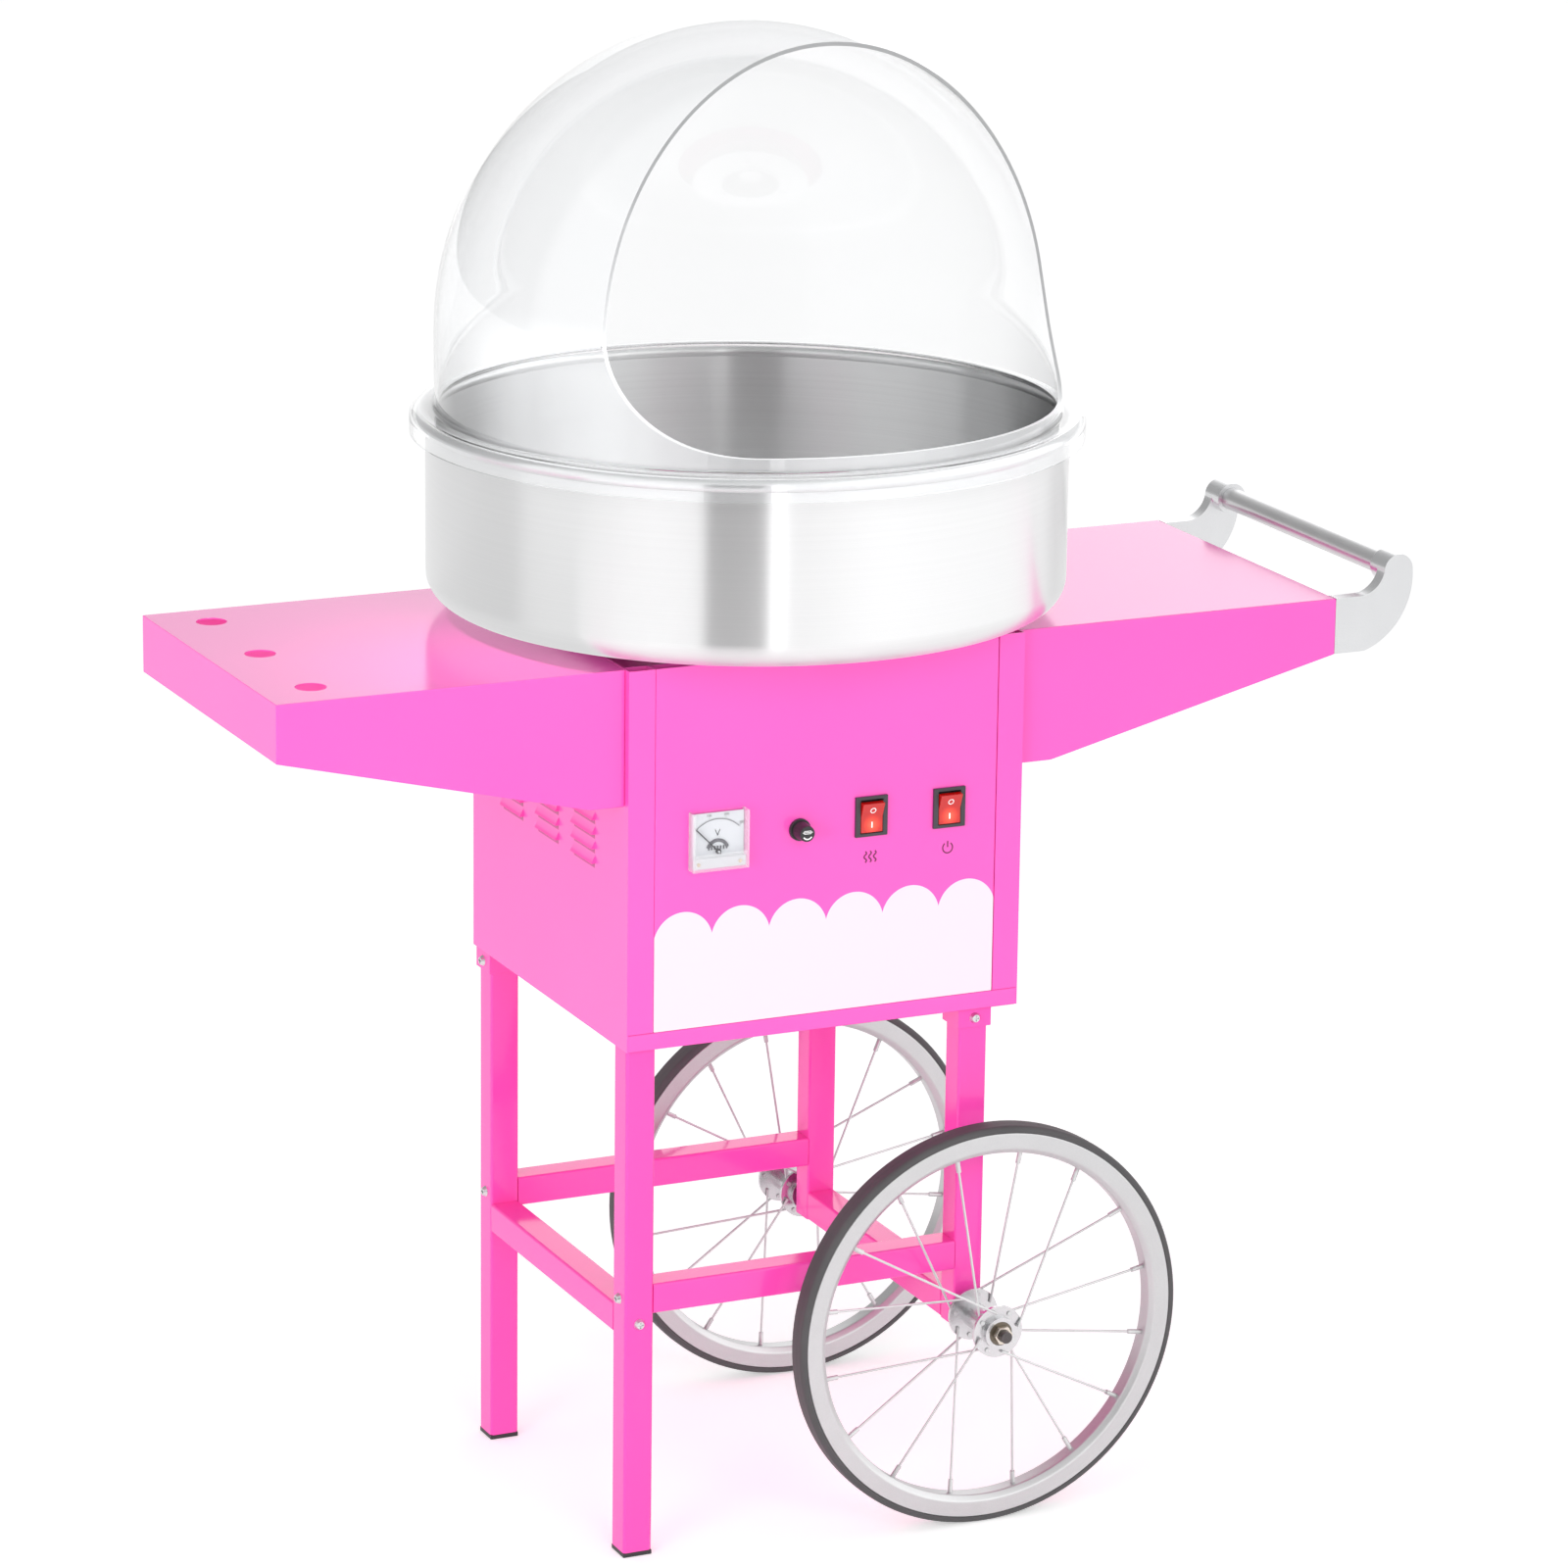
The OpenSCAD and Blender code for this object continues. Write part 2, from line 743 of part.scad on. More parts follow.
// Hollow rim with the tyre's channel outside and a hole for each nipple inside
module rim() {
    half = tyre_w / 2;
    shoulder = half - 2 * rim_wall;
    floor_r = rim_r - tongue_depth;
    difference() {
        rotate_extrude($fn = 128) difference() {
            polygon([
                [rim_r, -half], [rim_r, -tongue_w / 2], [floor_r, -tongue_w / 2],
                [floor_r, tongue_w / 2], [rim_r, tongue_w / 2], [rim_r, half],
                [rim_r - rim_side, half], [rim_inner_r, shoulder],
                [rim_inner_r, -shoulder], [rim_r - rim_side, -half]
            ]);
            translate([rim_inner_r + rim_wall, -shoulder])
                square([floor_r - rim_inner_r - 2 * rim_wall, 2 * shoulder]);
        }
        for (outer = [false, true]) for (i = [0 : spokes_per_flange - 1])
            nipple_hole(i, outer);
    }
}

// Hub with two drilled flanges and a bearing seat at each end
module hub() {
    difference() {
        union() {
            cylinder(h = flange_gap, r = hub_r, center = true);
            for (z = [-flange_gap / 2, flange_gap / 2]) translate([0, 0, z])
                cylinder(h = flange_t, r = flange_r, center = true);
            cylinder(h = flange_gap + flange_t + 2 * hub_end, r = hub_end_r, center = true);
        }
        cylinder(h = 2 * hub_half + 2 * over, r = axle_r + hub_bore_gap, center = true);
        for (side = [0, 180]) rotate([side, 0, 0]) translate([0, 0, hub_half - bearing_w])
            cylinder(h = bearing_w + over, r = bearing_r + fit);
        difference() {
            cylinder(h = flange_gap - flange_t, r = hub_end_r + over, center = true);
            cylinder(h = flange_gap, r = hub_r, center = true);
        }
        for (outer = [false, true]) for (i = [0 : spokes_per_flange - 1])
            rotate([0, 0, spoke_turn(i, outer)])
                translate([spoke_circle_r, 0, spoke_side(outer) * flange_gap / 2])
                    cylinder(h = flange_t + over, r = spoke_r + bolt_gap, center = true, $fn = 24);
    }
}

// The two bearings that run on the axle
module bearings() {
    for (side = [0, 180]) rotate([side, 0, 0]) translate([0, 0, hub_half - bearing_w]) difference() {
        cylinder(h = bearing_w, r = bearing_r);
        translate([0, 0, -over]) cylinder(h = bearing_w + 2 * over, r = axle_r + fit);
    }
}

module front_tyre() {
    color(rubber) on_axle(false) tyre();
}

module front_rim() {
    color(bright) on_axle(false) rim();
}

module front_spokes() {
    color(bright) on_axle(false) wheel_spokes();
}

module front_hub() {
    color(bright) on_axle(false) hub();
}

module front_bearings() {
    color(steel) on_axle(false) bearings();
}

module rear_tyre() {
    color(rubber) on_axle(true) tyre();
}

module rear_rim() {
    color(bright) on_axle(true) rim();
}

module rear_spokes() {
    color(bright) on_axle(true) wheel_spokes();
}

module rear_hub() {
    color(bright) on_axle(true) hub();
}

module rear_bearings() {
    color(steel) on_axle(true) bearings();
}

// Cabinet

// Places of the louvres on a side, as [y, z]
function louvre_places() = [
    for (column = [-1, 0, 1]) for (row = [0 : louvre_rows - 1])
        [column * louvre_column_pitch, cabinet_z + louvre_low + row * louvre_pitch]
];

// One pressed hood on the right side, with its lower edge at z = 0
module louvre_hood() {
    rotate([90, 0, 0]) linear_extrude(louvre_len, center = true)
        polygon([[0, louvre_rise], [louvre_out, 0], [louvre_out - sheet, 0], [0, louvre_rise - 2 * sheet]]);
    for (y = [-louvre_len / 2, louvre_len / 2 - sheet])
        translate([0, y + sheet, 0]) rotate([90, 0, 0]) linear_extrude(sheet)
            polygon([[0, louvre_rise], [louvre_out, 0], [0, 0]]);
}

// Places of the shelf bolts on a side, as [y, z]
function shelf_bolt_places() = [
    for (a = shelf_bolt_y_shares) for (b = shelf_bolt_z_shares)
        [a * shelf_d, cabinet_top - b * shelf_inner_h]
];

module cabinet_side() {
    difference() {
        span([half_w - sheet, -half_d, cabinet_z], [half_w, half_d, cabinet_top]);
        for (p = louvre_places()) translate([half_w - sheet / 2, p[0], p[1]])
            translate([-sheet, -louvre_len / 2 + sheet, 0])
                cube([2 * sheet, louvre_len - 2 * sheet, louvre_rise - 2 * sheet]);
        for (p = shelf_bolt_places()) translate([half_w, p[0], p[1]]) rotate([0, 90, 0])
            cylinder(h = 2 * sheet + 2 * over, r = bolt_r + bolt_gap, center = true);
    }
    for (p = louvre_places()) translate([half_w, p[0], p[1]]) louvre_hood();
    span([half_w - strip_w, -half_d, front_z], [half_w, -half_d + sheet, cabinet_top]);
    difference() {
        span([half_w - strip_w, -half_d, front_z],
             [half_w - strip_w + sheet, -half_d + fold_d, cabinet_top]);
        panel_screw_holes();
    }
}

// Cross holes for the screws that hold the panel's returns, on the right side
module panel_screw_holes() {
    for (s = panel_screw_shares)
        translate([half_w - strip_w, -half_d + fold_d / 2, front_z + s * front_h]) rotate([0, 90, 0])
            cylinder(h = strip_w, r = bolt_r + bolt_gap, center = true);
}

module cabinet_shell() {
    color(pink) {
        both_sides() cabinet_side();
        difference() {
            span([-half_w + sheet + fit, half_d - sheet, cabinet_z],
                 [half_w - sheet - fit, half_d, cabinet_top]);
            translate([gland_x, half_d, cabinet_z + gland_up]) rotate([90, 0, 0])
                cylinder(h = 2 * over, r = gland_r + bolt_gap, center = true);
        }
    }
}

module cabinet_floor() {
    in_w = half_w - sheet;
    back = half_d - sheet;
    color(pink) difference() {
        union() {
            span([-in_w, -half_d, cabinet_z], [in_w, back, cabinet_z + sheet]);
            span([-in_w, -half_d, cabinet_z], [in_w, -half_d + sheet, cabinet_z + lip_h]);
            span([-in_w, back - sheet, cabinet_z], [in_w, back, cabinet_z + tray_flange_h]);
            both_sides() span([in_w - sheet, -half_d, cabinet_z], [in_w, back, cabinet_z + tray_flange_h]);
        }
        translate([left_leg_x, -leg_y, cabinet_z]) cube([leg_w + 2 * socket_gap, leg_w + 2 * socket_gap,
            2 * over], center = true);
    }
}

module control_panel() {
    color(pink) difference() {
        union() {
            span([-panel_half_w, -half_d, front_z], [panel_half_w, -half_d + sheet, cabinet_top]);
            both_sides() difference() {
                span([panel_half_w - sheet, -half_d, front_z],
                     [panel_half_w, -half_d + fold_d, cabinet_top]);
                panel_screw_holes();
            }
        }
        on_panel(meter_x, meter_z) cylinder(h = 2 * fold_d, r = movement_r + panel_gap, center = true);
        on_panel(fuse_x, meter_z)
            cylinder(h = 2 * fold_d, r = fuse_barrel_r + panel_gap, center = true);
        for (x = [heat_x, power_x]) on_panel(x, switch_z)
            cube([switch_body_w + 2 * panel_gap, switch_body_h + 2 * panel_gap, 2 * fold_d], center = true);
    }
}

// Draws about Z, with z = 0 on the panel's front face and +Z out of the panel
module on_panel(x, z) {
    translate([x, -half_d, z]) rotate([90, 0, 0]) children();
}

module top_plate() {
    in_w = half_w - sheet - seam;
    back = half_d - sheet - seam;
    rim = cabinet_top - seam;
    low = plate_z - sheet;
    color(dark_pink) difference() {
        union() {
            span([-in_w, plate_front, low], [in_w, back, plate_z]);
            span([-in_w, plate_front, low], [in_w, plate_front + sheet, rim]);
            span([-in_w, back - sheet, low], [in_w, back, rim]);
            both_sides() span([in_w - sheet, plate_front, low], [in_w, back, rim]);
        }
        translate([0, 0, low - over]) cylinder(h = sheet + 2 * over, r = spindle_hole_r);
    }
}

// Screws through the folded returns on both sides of the panel
module cabinet_screws() {
    head_x = panel_half_w - sheet;
    color(steel) both_sides() for (s = panel_screw_shares)
        translate([head_x, -half_d + fold_d / 2, front_z + s * front_h]) rotate([0, -90, 0])
            pan_screw(strip_w / 2);
}

module cable_gland() {
    color(black) translate([gland_x, half_d, cabinet_z + gland_up]) rotate([-90, 0, 0]) difference() {
        union() {
            cylinder(h = gland_nut_h, r = gland_nut_r, $fn = 6);
            cylinder(h = 2 * gland_nut_h, r1 = gland_r, r2 = gland_tip_r);
            translate([0, 0, -sheet - gland_nut_h]) cylinder(h = sheet + gland_nut_h, r = gland_r);
            translate([0, 0, -sheet - gland_nut_h]) cylinder(h = gland_nut_h, r = gland_nut_r, $fn = 6);
        }
        translate([0, 0, -sheet - gland_nut_h - over])
            cylinder(h = sheet + 3 * gland_nut_h + 2 * over, r = gland_bore_r);
    }
}

module terminal_block() {
    color(white) translate([block_x - block_l / 2, block_y - block_w / 2, cabinet_z + sheet]) difference() {
        cube([block_l, block_w, block_h]);
        for (i = [0 : block_ways - 1])
            translate([(i + 1 / 2) * block_l / block_ways, block_w / 2, block_h - block_screw_depth])
                cylinder(h = block_screw_depth + over, r = block_screw_r);
    }
}

// Shelves

// The right shelf as a folded tray, open below
module shelf() {
    low_in = cabinet_top - shelf_inner_h;
    low_out = cabinet_top - shelf_outer_h;
    side = [
        [half_w, cabinet_top], [half_w, low_in], [half_w + shelf_flat, low_in],
        [shelf_end, low_out], [shelf_end, cabinet_top]
    ];
    difference() {
        rotate([90, 0, 0]) linear_extrude(shelf_d, center = true) polygon(side);
        span([half_w + sheet, -shelf_d / 2 + sheet, 0],
             [shelf_end - sheet, shelf_d / 2 - sheet, cabinet_top - sheet]);
        for (p = shelf_bolt_places()) translate([half_w, p[0], p[1]]) rotate([0, 90, 0])
            cylinder(h = 2 * sheet + 2 * over, r = bolt_r + bolt_gap, center = true);
    }
}

module left_shelf() {
    color(pink) difference() {
        mirror([1, 0, 0]) shelf();
        for (i = [-1, 0, 1]) translate([-shelf_end + cone_edge, i * cone_pitch, cabinet_top - sheet - over])
            cylinder(h = sheet + 2 * over, r = cone_hole_r);
    }
}

module right_shelf() {
    color(pink) difference() {
        shelf();
        for (p = handle_screw_places()) translate(p) rotate([0, 90, 0])
            cylinder(h = 2 * sheet + 2 * over, r = bolt_r + bolt_gap, center = true);
    }
}

// Bolts from inside each shelf, with a nut inside the cabinet
module shelf_bolts() {
    color(steel) both_sides() for (p = shelf_bolt_places())
        translate([half_w + sheet, p[0], p[1]]) rotate([0, 90, 0]) {
            pan_screw(2 * sheet + bolt_nut_h + bolt_stub);
            translate([0, 0, -2 * sheet - bolt_nut_h]) difference() {
                cylinder(h = bolt_nut_h, r = bolt_head_r, $fn = 6);
                translate([0, 0, -over]) cylinder(h = bolt_nut_h + 2 * over, r = bolt_r + bolt_gap);
            }
        }
}

// Handle

// Outline of a handle bracket: out from the shelf's end along x, up from its top along y
module horn_outline() {
    difference() {
        intersection() {
            translate([horn_outer_x, horn_outer_z]) circle(r = horn_outer_r, $fn = 96);
            translate([0, -shelf_outer_h]) square([2 * horn_outer_r, shelf_outer_h + handle_rise]);
        }
        translate([horn_inner_x, horn_inner_r]) circle(r = horn_inner_r, $fn = 96);
        translate([-over, 0]) square([horn_inner_x + over, 2 * horn_outer_r]);
    }
    translate([tip_x, handle_rise]) circle(r = tip_r);
}

// Places of the handle's screws on the shelf's end, in the middle of each bracket
function handle_screw_places() = [
    for (side = [-1, 1]) for (s = handle_screw_z_shares)
        [shelf_end, side * (shelf_d / 2 - horn_t / 2), cabinet_top - s * shelf_outer_h]
];

// The front bracket: a curved horn with a boss on its inner face for the tube
module handle_bracket() {
    difference() {
        translate([shelf_end, -shelf_d / 2, cabinet_top]) rotate([90, 0, 0]) {
            translate([0, 0, -horn_t]) linear_extrude(horn_t) horn_outline();
            translate([tip_x, handle_rise, -horn_t - boss_len]) cylinder(h = boss_len, r = tip_r);
        }
        translate([shelf_end + tip_x, -shelf_d / 2 + boss_floor, cabinet_top + handle_rise])
            rotate([-90, 0, 0]) cylinder(h = shelf_d / 2, r = handle_r + fit);
        for (p = handle_screw_places()) translate(p) rotate([0, 90, 0])
            cylinder(h = 2 * handle_screw_len, r = bolt_r + bolt_gap, center = true);
    }
}

module front_handle_bracket() {
    color(bright) handle_bracket();
}

module rear_handle_bracket() {
    color(bright) mirror([0, 1, 0]) handle_bracket();
}

module handle_tube() {
    len = shelf_d - 2 * boss_floor;
    color(bright) translate([shelf_end + tip_x, 0, cabinet_top + handle_rise]) rotate([90, 0, 0])
        difference() {
            cylinder(h = len, r = handle_r, center = true);
            cylinder(h = len + 2 * over, r = handle_r - handle_wall, center = true);
        }
}

module handle_screws() {
    color(steel) for (p = handle_screw_places())
        translate(p - [sheet, 0, 0]) rotate([0, -90, 0]) pan_screw(sheet + handle_screw_len - bolt_stub);
}

// Bowl and dome

module rubber_buffers() {
    color(rubber) {
        for (a = [45 : 90 : 315]) rotate([0, 0, a]) translate([bowl_buffer_ring, 0, plate_z])
            cylinder(h = bowl_z - plate_z - rest_gap, r = bowl_buffer_r);
        for (x = [-buffer_place, buffer_place]) for (y = [-buffer_place, buffer_place])
            translate([x, y, bracket_top]) cylinder(h = buffer_h, r = buffer_r);
    }
}

// Spun bowl: a flat floor with an upstand round its hole, a round corner and a rolled rim
module bowl() {
    wall_low = bowl_z + bowl_corner_r;
    bead_r_at = bowl_r + bead_out;
    inner = bowl_r - bowl_t;
    corner_at = bowl_r - bowl_corner_r;
    color(steel) rotate_extrude($fn = 180) {
        translate([collar_r, bowl_z]) square([corner_at - collar_r, bowl_t]);
        translate([collar_r, bowl_z]) square([bowl_t, collar_h]);
        translate([inner, wall_low]) square([bowl_t, rim_z - bead_r - wall_low]);
        intersection() {
            translate([corner_at, wall_low]) difference() {
                circle(r = bowl_corner_r);
                circle(r = bowl_corner_r - bowl_t);
            }
            translate([corner_at, bowl_z]) square([bowl_corner_r, bowl_corner_r]);
        }
        translate([bead_r_at, rim_z - bead_r]) difference() {
            circle(r = bead_r);
            circle(r = bead_r - bowl_t);
        }
    }
}

// Section of the dome's wall: an upright stretch and a quarter round
module dome_section(r) {
    translate([0, rim_z]) square([r, dome_wall_h]);
    intersection() {
        translate([0, dome_z]) circle(r = r, $fn = 180);
        translate([0, dome_z]) square([r, r]);
    }
}

// Section of the rim ring's outside, with a round upper edge
module ring_section(r, top, round_r) {
    low = rim_z - dome_ring_drop;
    translate([0, low]) square([r, top - round_r - low]);
    translate([0, low]) square([r - round_r, top - low]);
    translate([r - round_r, top - round_r]) circle(r = round_r);
}

// Side view of the dome's mouth: in front of a leaning plane, above a sill, with a round corner
module mouth_outline() {
    sill = rim_z + mouth_sill;
    run = (sill + mouth_corner_r * (1 - sin(mouth_lean)) - dome_z) / cos(mouth_lean);
    far = 2 * dome_r;
    tangent = [-mouth_y + run * sin(mouth_lean), dome_z + run * cos(mouth_lean)];
    centre = tangent + mouth_corner_r * [-cos(mouth_lean), sin(mouth_lean)];
    polygon([
        tangent, [-mouth_y + far * sin(mouth_lean), dome_z + far * cos(mouth_lean)],
        [-far, dome_z + far * cos(mouth_lean)], [-far, sill], [centre[0], sill]
    ]);
    translate(centre) circle(r = mouth_corner_r, $fn = 96);
}

module dome() {
    color(clear) difference() {
        rotate_extrude($fn = 180) difference() {
            union() {
                dome_section(dome_r);
                ring_section(dome_ring_r, ring_top, ring_round);
            }
            dome_section(dome_r - dome_t);
            translate([0, -over])
                ring_section(dome_ring_r - dome_t, ring_top - dome_t + over, ring_round - dome_t);
        }
        rotate([90, 0, 90 + mouth_turn]) linear_extrude(4 * dome_r, center = true) mouth_outline();
    }
}

// Drive

module motor_bracket() {
    color(steel) difference() {
        span([-bracket_half, -bracket_half, motor_top], [bracket_half, bracket_half, bracket_top]);
        translate([0, 0, motor_top - over]) cylinder(h = bracket_t + 2 * over, r = bracket_hole_r);
    }
}

module motor_casing() {
    bell_r = motor_r * motor_bell_r_share;
    low = motor_top - motor_h;
    color(black) difference() {
        union() {
            translate([0, 0, low + motor_bell_h]) cylinder(h = motor_h - motor_bell_h, r = motor_r);
            translate([0, 0, low]) cylinder(h = motor_bell_h, r1 = bell_r, r2 = motor_r);
            translate([0, 0, motor_top]) cylinder(h = bracket_t, r = bracket_hole_r - bolt_gap);
        }
        translate([0, 0, low - over]) cylinder(h = motor_h + bracket_t + 2 * over, r = shaft_r + fit);
    }
}

module motor_shaft() {
    low = motor_top - motor_h - shaft_low;
    color(steel) translate([0, 0, low]) cylinder(h = shaft_top - low, r = shaft_r);
}

// An insulating core with two brass rings
module slip_rings() {
    color(brass) translate([0, 0, slip_z]) difference() {
        union() {
            cylinder(h = slip_h, r = slip_core_r);
            for (i = [0, 1]) translate([0, 0, slip_space + i * (slip_ring_h + slip_space)])
                cylinder(h = slip_ring_h, r = slip_ring_r);
        }
        translate([0, 0, -over]) cylinder(h = slip_h + 2 * over, r = shaft_r + fit);
    }
}

// Heights of the middles of the slip rings
function brush_heights() = [
    for (i = [0, 1]) slip_z + slip_space + slip_ring_h / 2 + i * (slip_ring_h + slip_space)
];

module brush_holder() {
    from = slip_ring_r + holder_from_ring;
    color(black) difference() {
        span([from, -holder_w / 2, bracket_top],
             [from + holder_l, holder_w / 2, slip_z + slip_h - slip_space + holder_over]);
        for (z = brush_heights()) translate([from, 0, z])
            cube([2 * brush_len, brush_w + 2 * bolt_gap, brush_h + 2 * bolt_gap], center = true);
    }
}

module carbon_brushes() {
    from = slip_ring_r + rest_gap;
    color(rubber) for (z = brush_heights())
        span([from, -brush_w / 2, z - brush_h / 2], [from + brush_len, brush_w / 2, z + brush_h / 2]);
}

// Spinning head

module head_base() {
    color(bright) difference() {
        union() {
            rotate_extrude() {
                translate([0, head_z]) square([head_r, head_floor_t]);
                translate([head_r - head_rim_t, head_z]) square([head_rim_t, head_rim_h]);
            }
            translate([0, 0, head_z]) cylinder(h = head_hub_h, r = head_hub_r);
        }
        translate([0, 0, head_z - over]) cylinder(h = head_hub_h + 2 * over, r = shaft_r + fit);
    }
}

// Two turns of heating wire on three insulating posts
module heater_ring() {
    ring_r = head_r * heater_r_share;
    foot = head_z + head_floor_t;
    color(brass) {
        for (i = [0, 1]) translate([0, 0, foot + heater_low + i * heater_step])
            rotate_extrude() translate([ring_r, 0]) circle(r = heater_wire_r, $fn = 24);
        for (a = [0, 120, 240]) rotate([0, 0, a]) translate([ring_r, 0, foot])
            cylinder(h = heater_low + heater_step + post_r, r = post_r, $fn = 32);
    }
}

module head_screen() {
    low = head_z + head_rim_h;
    color(steel) difference() {
        translate([0, 0, low]) cylinder(h = screen_h, r = head_r - screen_t);
        translate([0, 0, low - over]) cylinder(h = screen_h + 2 * over, r = head_r - 2 * screen_t);
        for (i = [0 : screen_slots - 1]) rotate([0, 0, (i + 1 / 2) * 360 / screen_slots])
            translate([head_r / 2, -screen_slot_w / 2, low + screen_margin])
                cube([head_r, screen_slot_w, screen_h - 2 * screen_margin]);
    }
}

// Cap with a pouring hole, on three stays that stand on the base
module head_cap() {
    pour_r = head_r * pour_r_share;
    stay_circle = head_r * stay_circle_share;
    color(bright) {
        difference() {
            union() {
                translate([0, 0, cap_z]) cylinder(h = cap_plate_t, r = head_r);
                translate([0, 0, cap_z]) cylinder(h = cap_plate_t + pour_lip, r = pour_r + pour_lip_t);
            }
            translate([0, 0, cap_z - over]) cylinder(h = cap_plate_t + pour_lip + 2 * over, r = pour_r);
        }
        for (a = [60, 180, 300]) rotate([0, 0, a]) translate([stay_circle, 0, 0]) {
            translate([0, 0, head_z + head_floor_t])
                cylinder(h = cap_z + cap_plate_t - head_z - head_floor_t, r = stay_r, $fn = 32);
            translate([0, 0, cap_z + cap_plate_t]) cylinder(h = cap_nut_h, r = cap_nut_r, $fn = 6);
        }
    }
}

// Meter

module meter_case() {
    color(clear) on_panel(meter_x, meter_z) difference() {
        translate([-meter_w / 2, -meter_h / 2, 0]) cube([meter_w, meter_h, meter_t]);
        translate([-meter_w / 2 + case_t, -meter_h / 2 + case_t, -over])
            cube([meter_w - 2 * case_t, meter_h - 2 * case_t, meter_t - case_t + over]);
    }
}

// The movement's barrel behind the panel, the dial, its lower cover and the needle's pin
module meter_movement() {
    dial_w = meter_w - 2 * case_t - 2 * seam;
    dial_h = meter_h - 2 * case_t - 2 * seam;
    color(white) on_panel(meter_x, meter_z) {
        translate([0, 0, -movement_len]) cylinder(h = movement_len + dial_gap, r = movement_r);
        translate([-dial_w / 2, -dial_h / 2, dial_gap]) cube([dial_w, dial_h, dial_t]);
        translate([-dial_w / 2, -dial_h / 2, dial_gap]) cube([dial_w, cover_h, dial_t + cover_t]);
        translate([0, -needle_drop, dial_gap]) cylinder(h = dial_t + cover_t, r = needle_pin_r, $fn = 32);
    }
}

module meter_needle() {
    lift = dial_gap + dial_t + cover_t / 2;
    color(black) on_panel(meter_x, meter_z) translate([0, -needle_drop, lift])
        rotate([0, 0, needle_rest_angle]) difference() {
            union() {
                translate([0, 0, -needle_t]) cylinder(h = 2 * needle_t, r = needle_hub_r, $fn = 32);
                translate([-needle_w / 2, -needle_tail, -needle_t / 2])
                    cube([needle_w, needle_len + needle_tail, needle_t]);
            }
            cylinder(h = 2 * cover_t, r = needle_pin_r + fit, center = true, $fn = 32);
        }
}

// Fuse

module fuse_holder() {
    color(black) on_panel(fuse_x, meter_z) difference() {
        union() {
            cylinder(h = fuse_flange_t, r = fuse_flange_r);
            translate([0, 0, -fuse_barrel_len]) cylinder(h = fuse_barrel_len, r = fuse_barrel_r);
            translate([0, 0, -sheet - bolt_nut_h]) cylinder(h = bolt_nut_h, r = fuse_flange_r, $fn = 6);
        }
        translate([0, 0, -fuse_barrel_len + fuse_back])
            cylinder(h = fuse_barrel_len + fuse_flange_t, r = fuse_bore_r);
    }
}

// The carrier that reaches into the barrel, with the fuse in its grip
module fuse() {
    color(clear) on_panel(fuse_x, meter_z) {
        translate([0, 0, -fuse_stem_len])
            cylinder(h = fuse_stem_len + fuse_low + fuse_stem_rise - rest_gap, r = fuse_stem_r);
        translate([0, 0, fuse_grip - fuse_stem_len - fuse_len])
            cylinder(h = fuse_len, r = fuse_r, $fn = 32);
    }
}

// Bayonet cap that turns on the carrier's end
module fuse_cap() {
    color(black) on_panel(fuse_x, meter_z) translate([0, 0, fuse_low]) difference() {
        cylinder(h = fuse_cap_len, r1 = fuse_cap_r, r2 = fuse_cap_tip_r);
        translate([0, 0, -over]) cylinder(h = fuse_stem_rise + over, r = fuse_stem_r + fit);
    }
}

// Switches

// Body behind the panel, a bezel in front of it, and four blade terminals
module switch_body(x) {
    well_w = rocker_w + 2 * rocker_gap;
    well_h = bezel_h - 2 * bezel_t;
    color(black) on_panel(x, switch_z) difference() {
        union() {
            translate([-bezel_w / 2, -bezel_h / 2, 0]) cube([bezel_w, bezel_h, bezel_t]);
            translate([-switch_body_w / 2, -switch_body_h / 2, -switch_body_t])
                cube([switch_body_w, switch_body_h, switch_body_t]);
            for (a = [-1, 1]) for (b = [-1, 1])
                translate([a * spade_apart / 2 - spade_t / 2, b * spade_apart / 2 - spade_w / 2,
                    -switch_body_t - spade_len]) cube([spade_t, spade_w, spade_len]);
        }
        translate([-well_w / 2, -well_h / 2, -rocker_back - 2 * rocker_gap])
            cube([well_w, well_h, rocker_back + bezel_t + over]);
        rotate([0, 90, 0]) cylinder(h = rocker_w + 2 * rocker_pin_len + 2 * rocker_gap,
            r = rocker_pin_r + fit, center = true);
    }
}

// Rocker with its upper end out, turned about the pins at its sides
module rocker(x) {
    half = rocker_h / 2;
    color(red) on_panel(x, switch_z) rotate([rock_angle / 2, 0, 0]) {
        rotate([90, 0, 90]) translate([0, 0, -rocker_w / 2]) linear_extrude(rocker_w) polygon([
            [-half, rocker_end], [0, rocker_dip], [half, rocker_end], [half, 0],
            [0, -rocker_back], [-half, 0]
        ]);
        rotate([0, 90, 0])
            cylinder(h = rocker_w + 2 * rocker_pin_len, r = rocker_pin_r, center = true);
    }
}

module heat_switch() {
    switch_body(heat_x);
}

module heat_rocker() {
    rocker(heat_x);
}

module power_switch() {
    switch_body(power_x);
}

module power_rocker() {
    rocker(power_x);
}

place() front_left_leg();
place() rear_left_leg();
place() front_right_leg();
place() rear_right_leg();
place() leg_sockets();
place() leg_end_caps();
place() front_rail();
place() rear_rail();
place() left_cross_rail();
place() axle_beam();
place() frame_screws();
place() axle();
place() axle_nuts();
place() front_tyre();
place() front_rim();
place() front_spokes();
place() front_hub();
place() front_bearings();
place() rear_tyre();
place() rear_rim();
place() rear_spokes();
place() rear_hub();
place() rear_bearings();
place() cabinet_shell();
place() cabinet_floor();
place() control_panel();
place() top_plate();
place() cabinet_screws();
place() cable_gland();
place() terminal_block();
place() left_shelf();
place() right_shelf();
place() shelf_bolts();
place() front_handle_bracket();
place() rear_handle_bracket();
place() handle_tube();
place() handle_screws();
place() rubber_buffers();
place() motor_bracket();
place() motor_casing();
place() motor_shaft();
place() slip_rings();
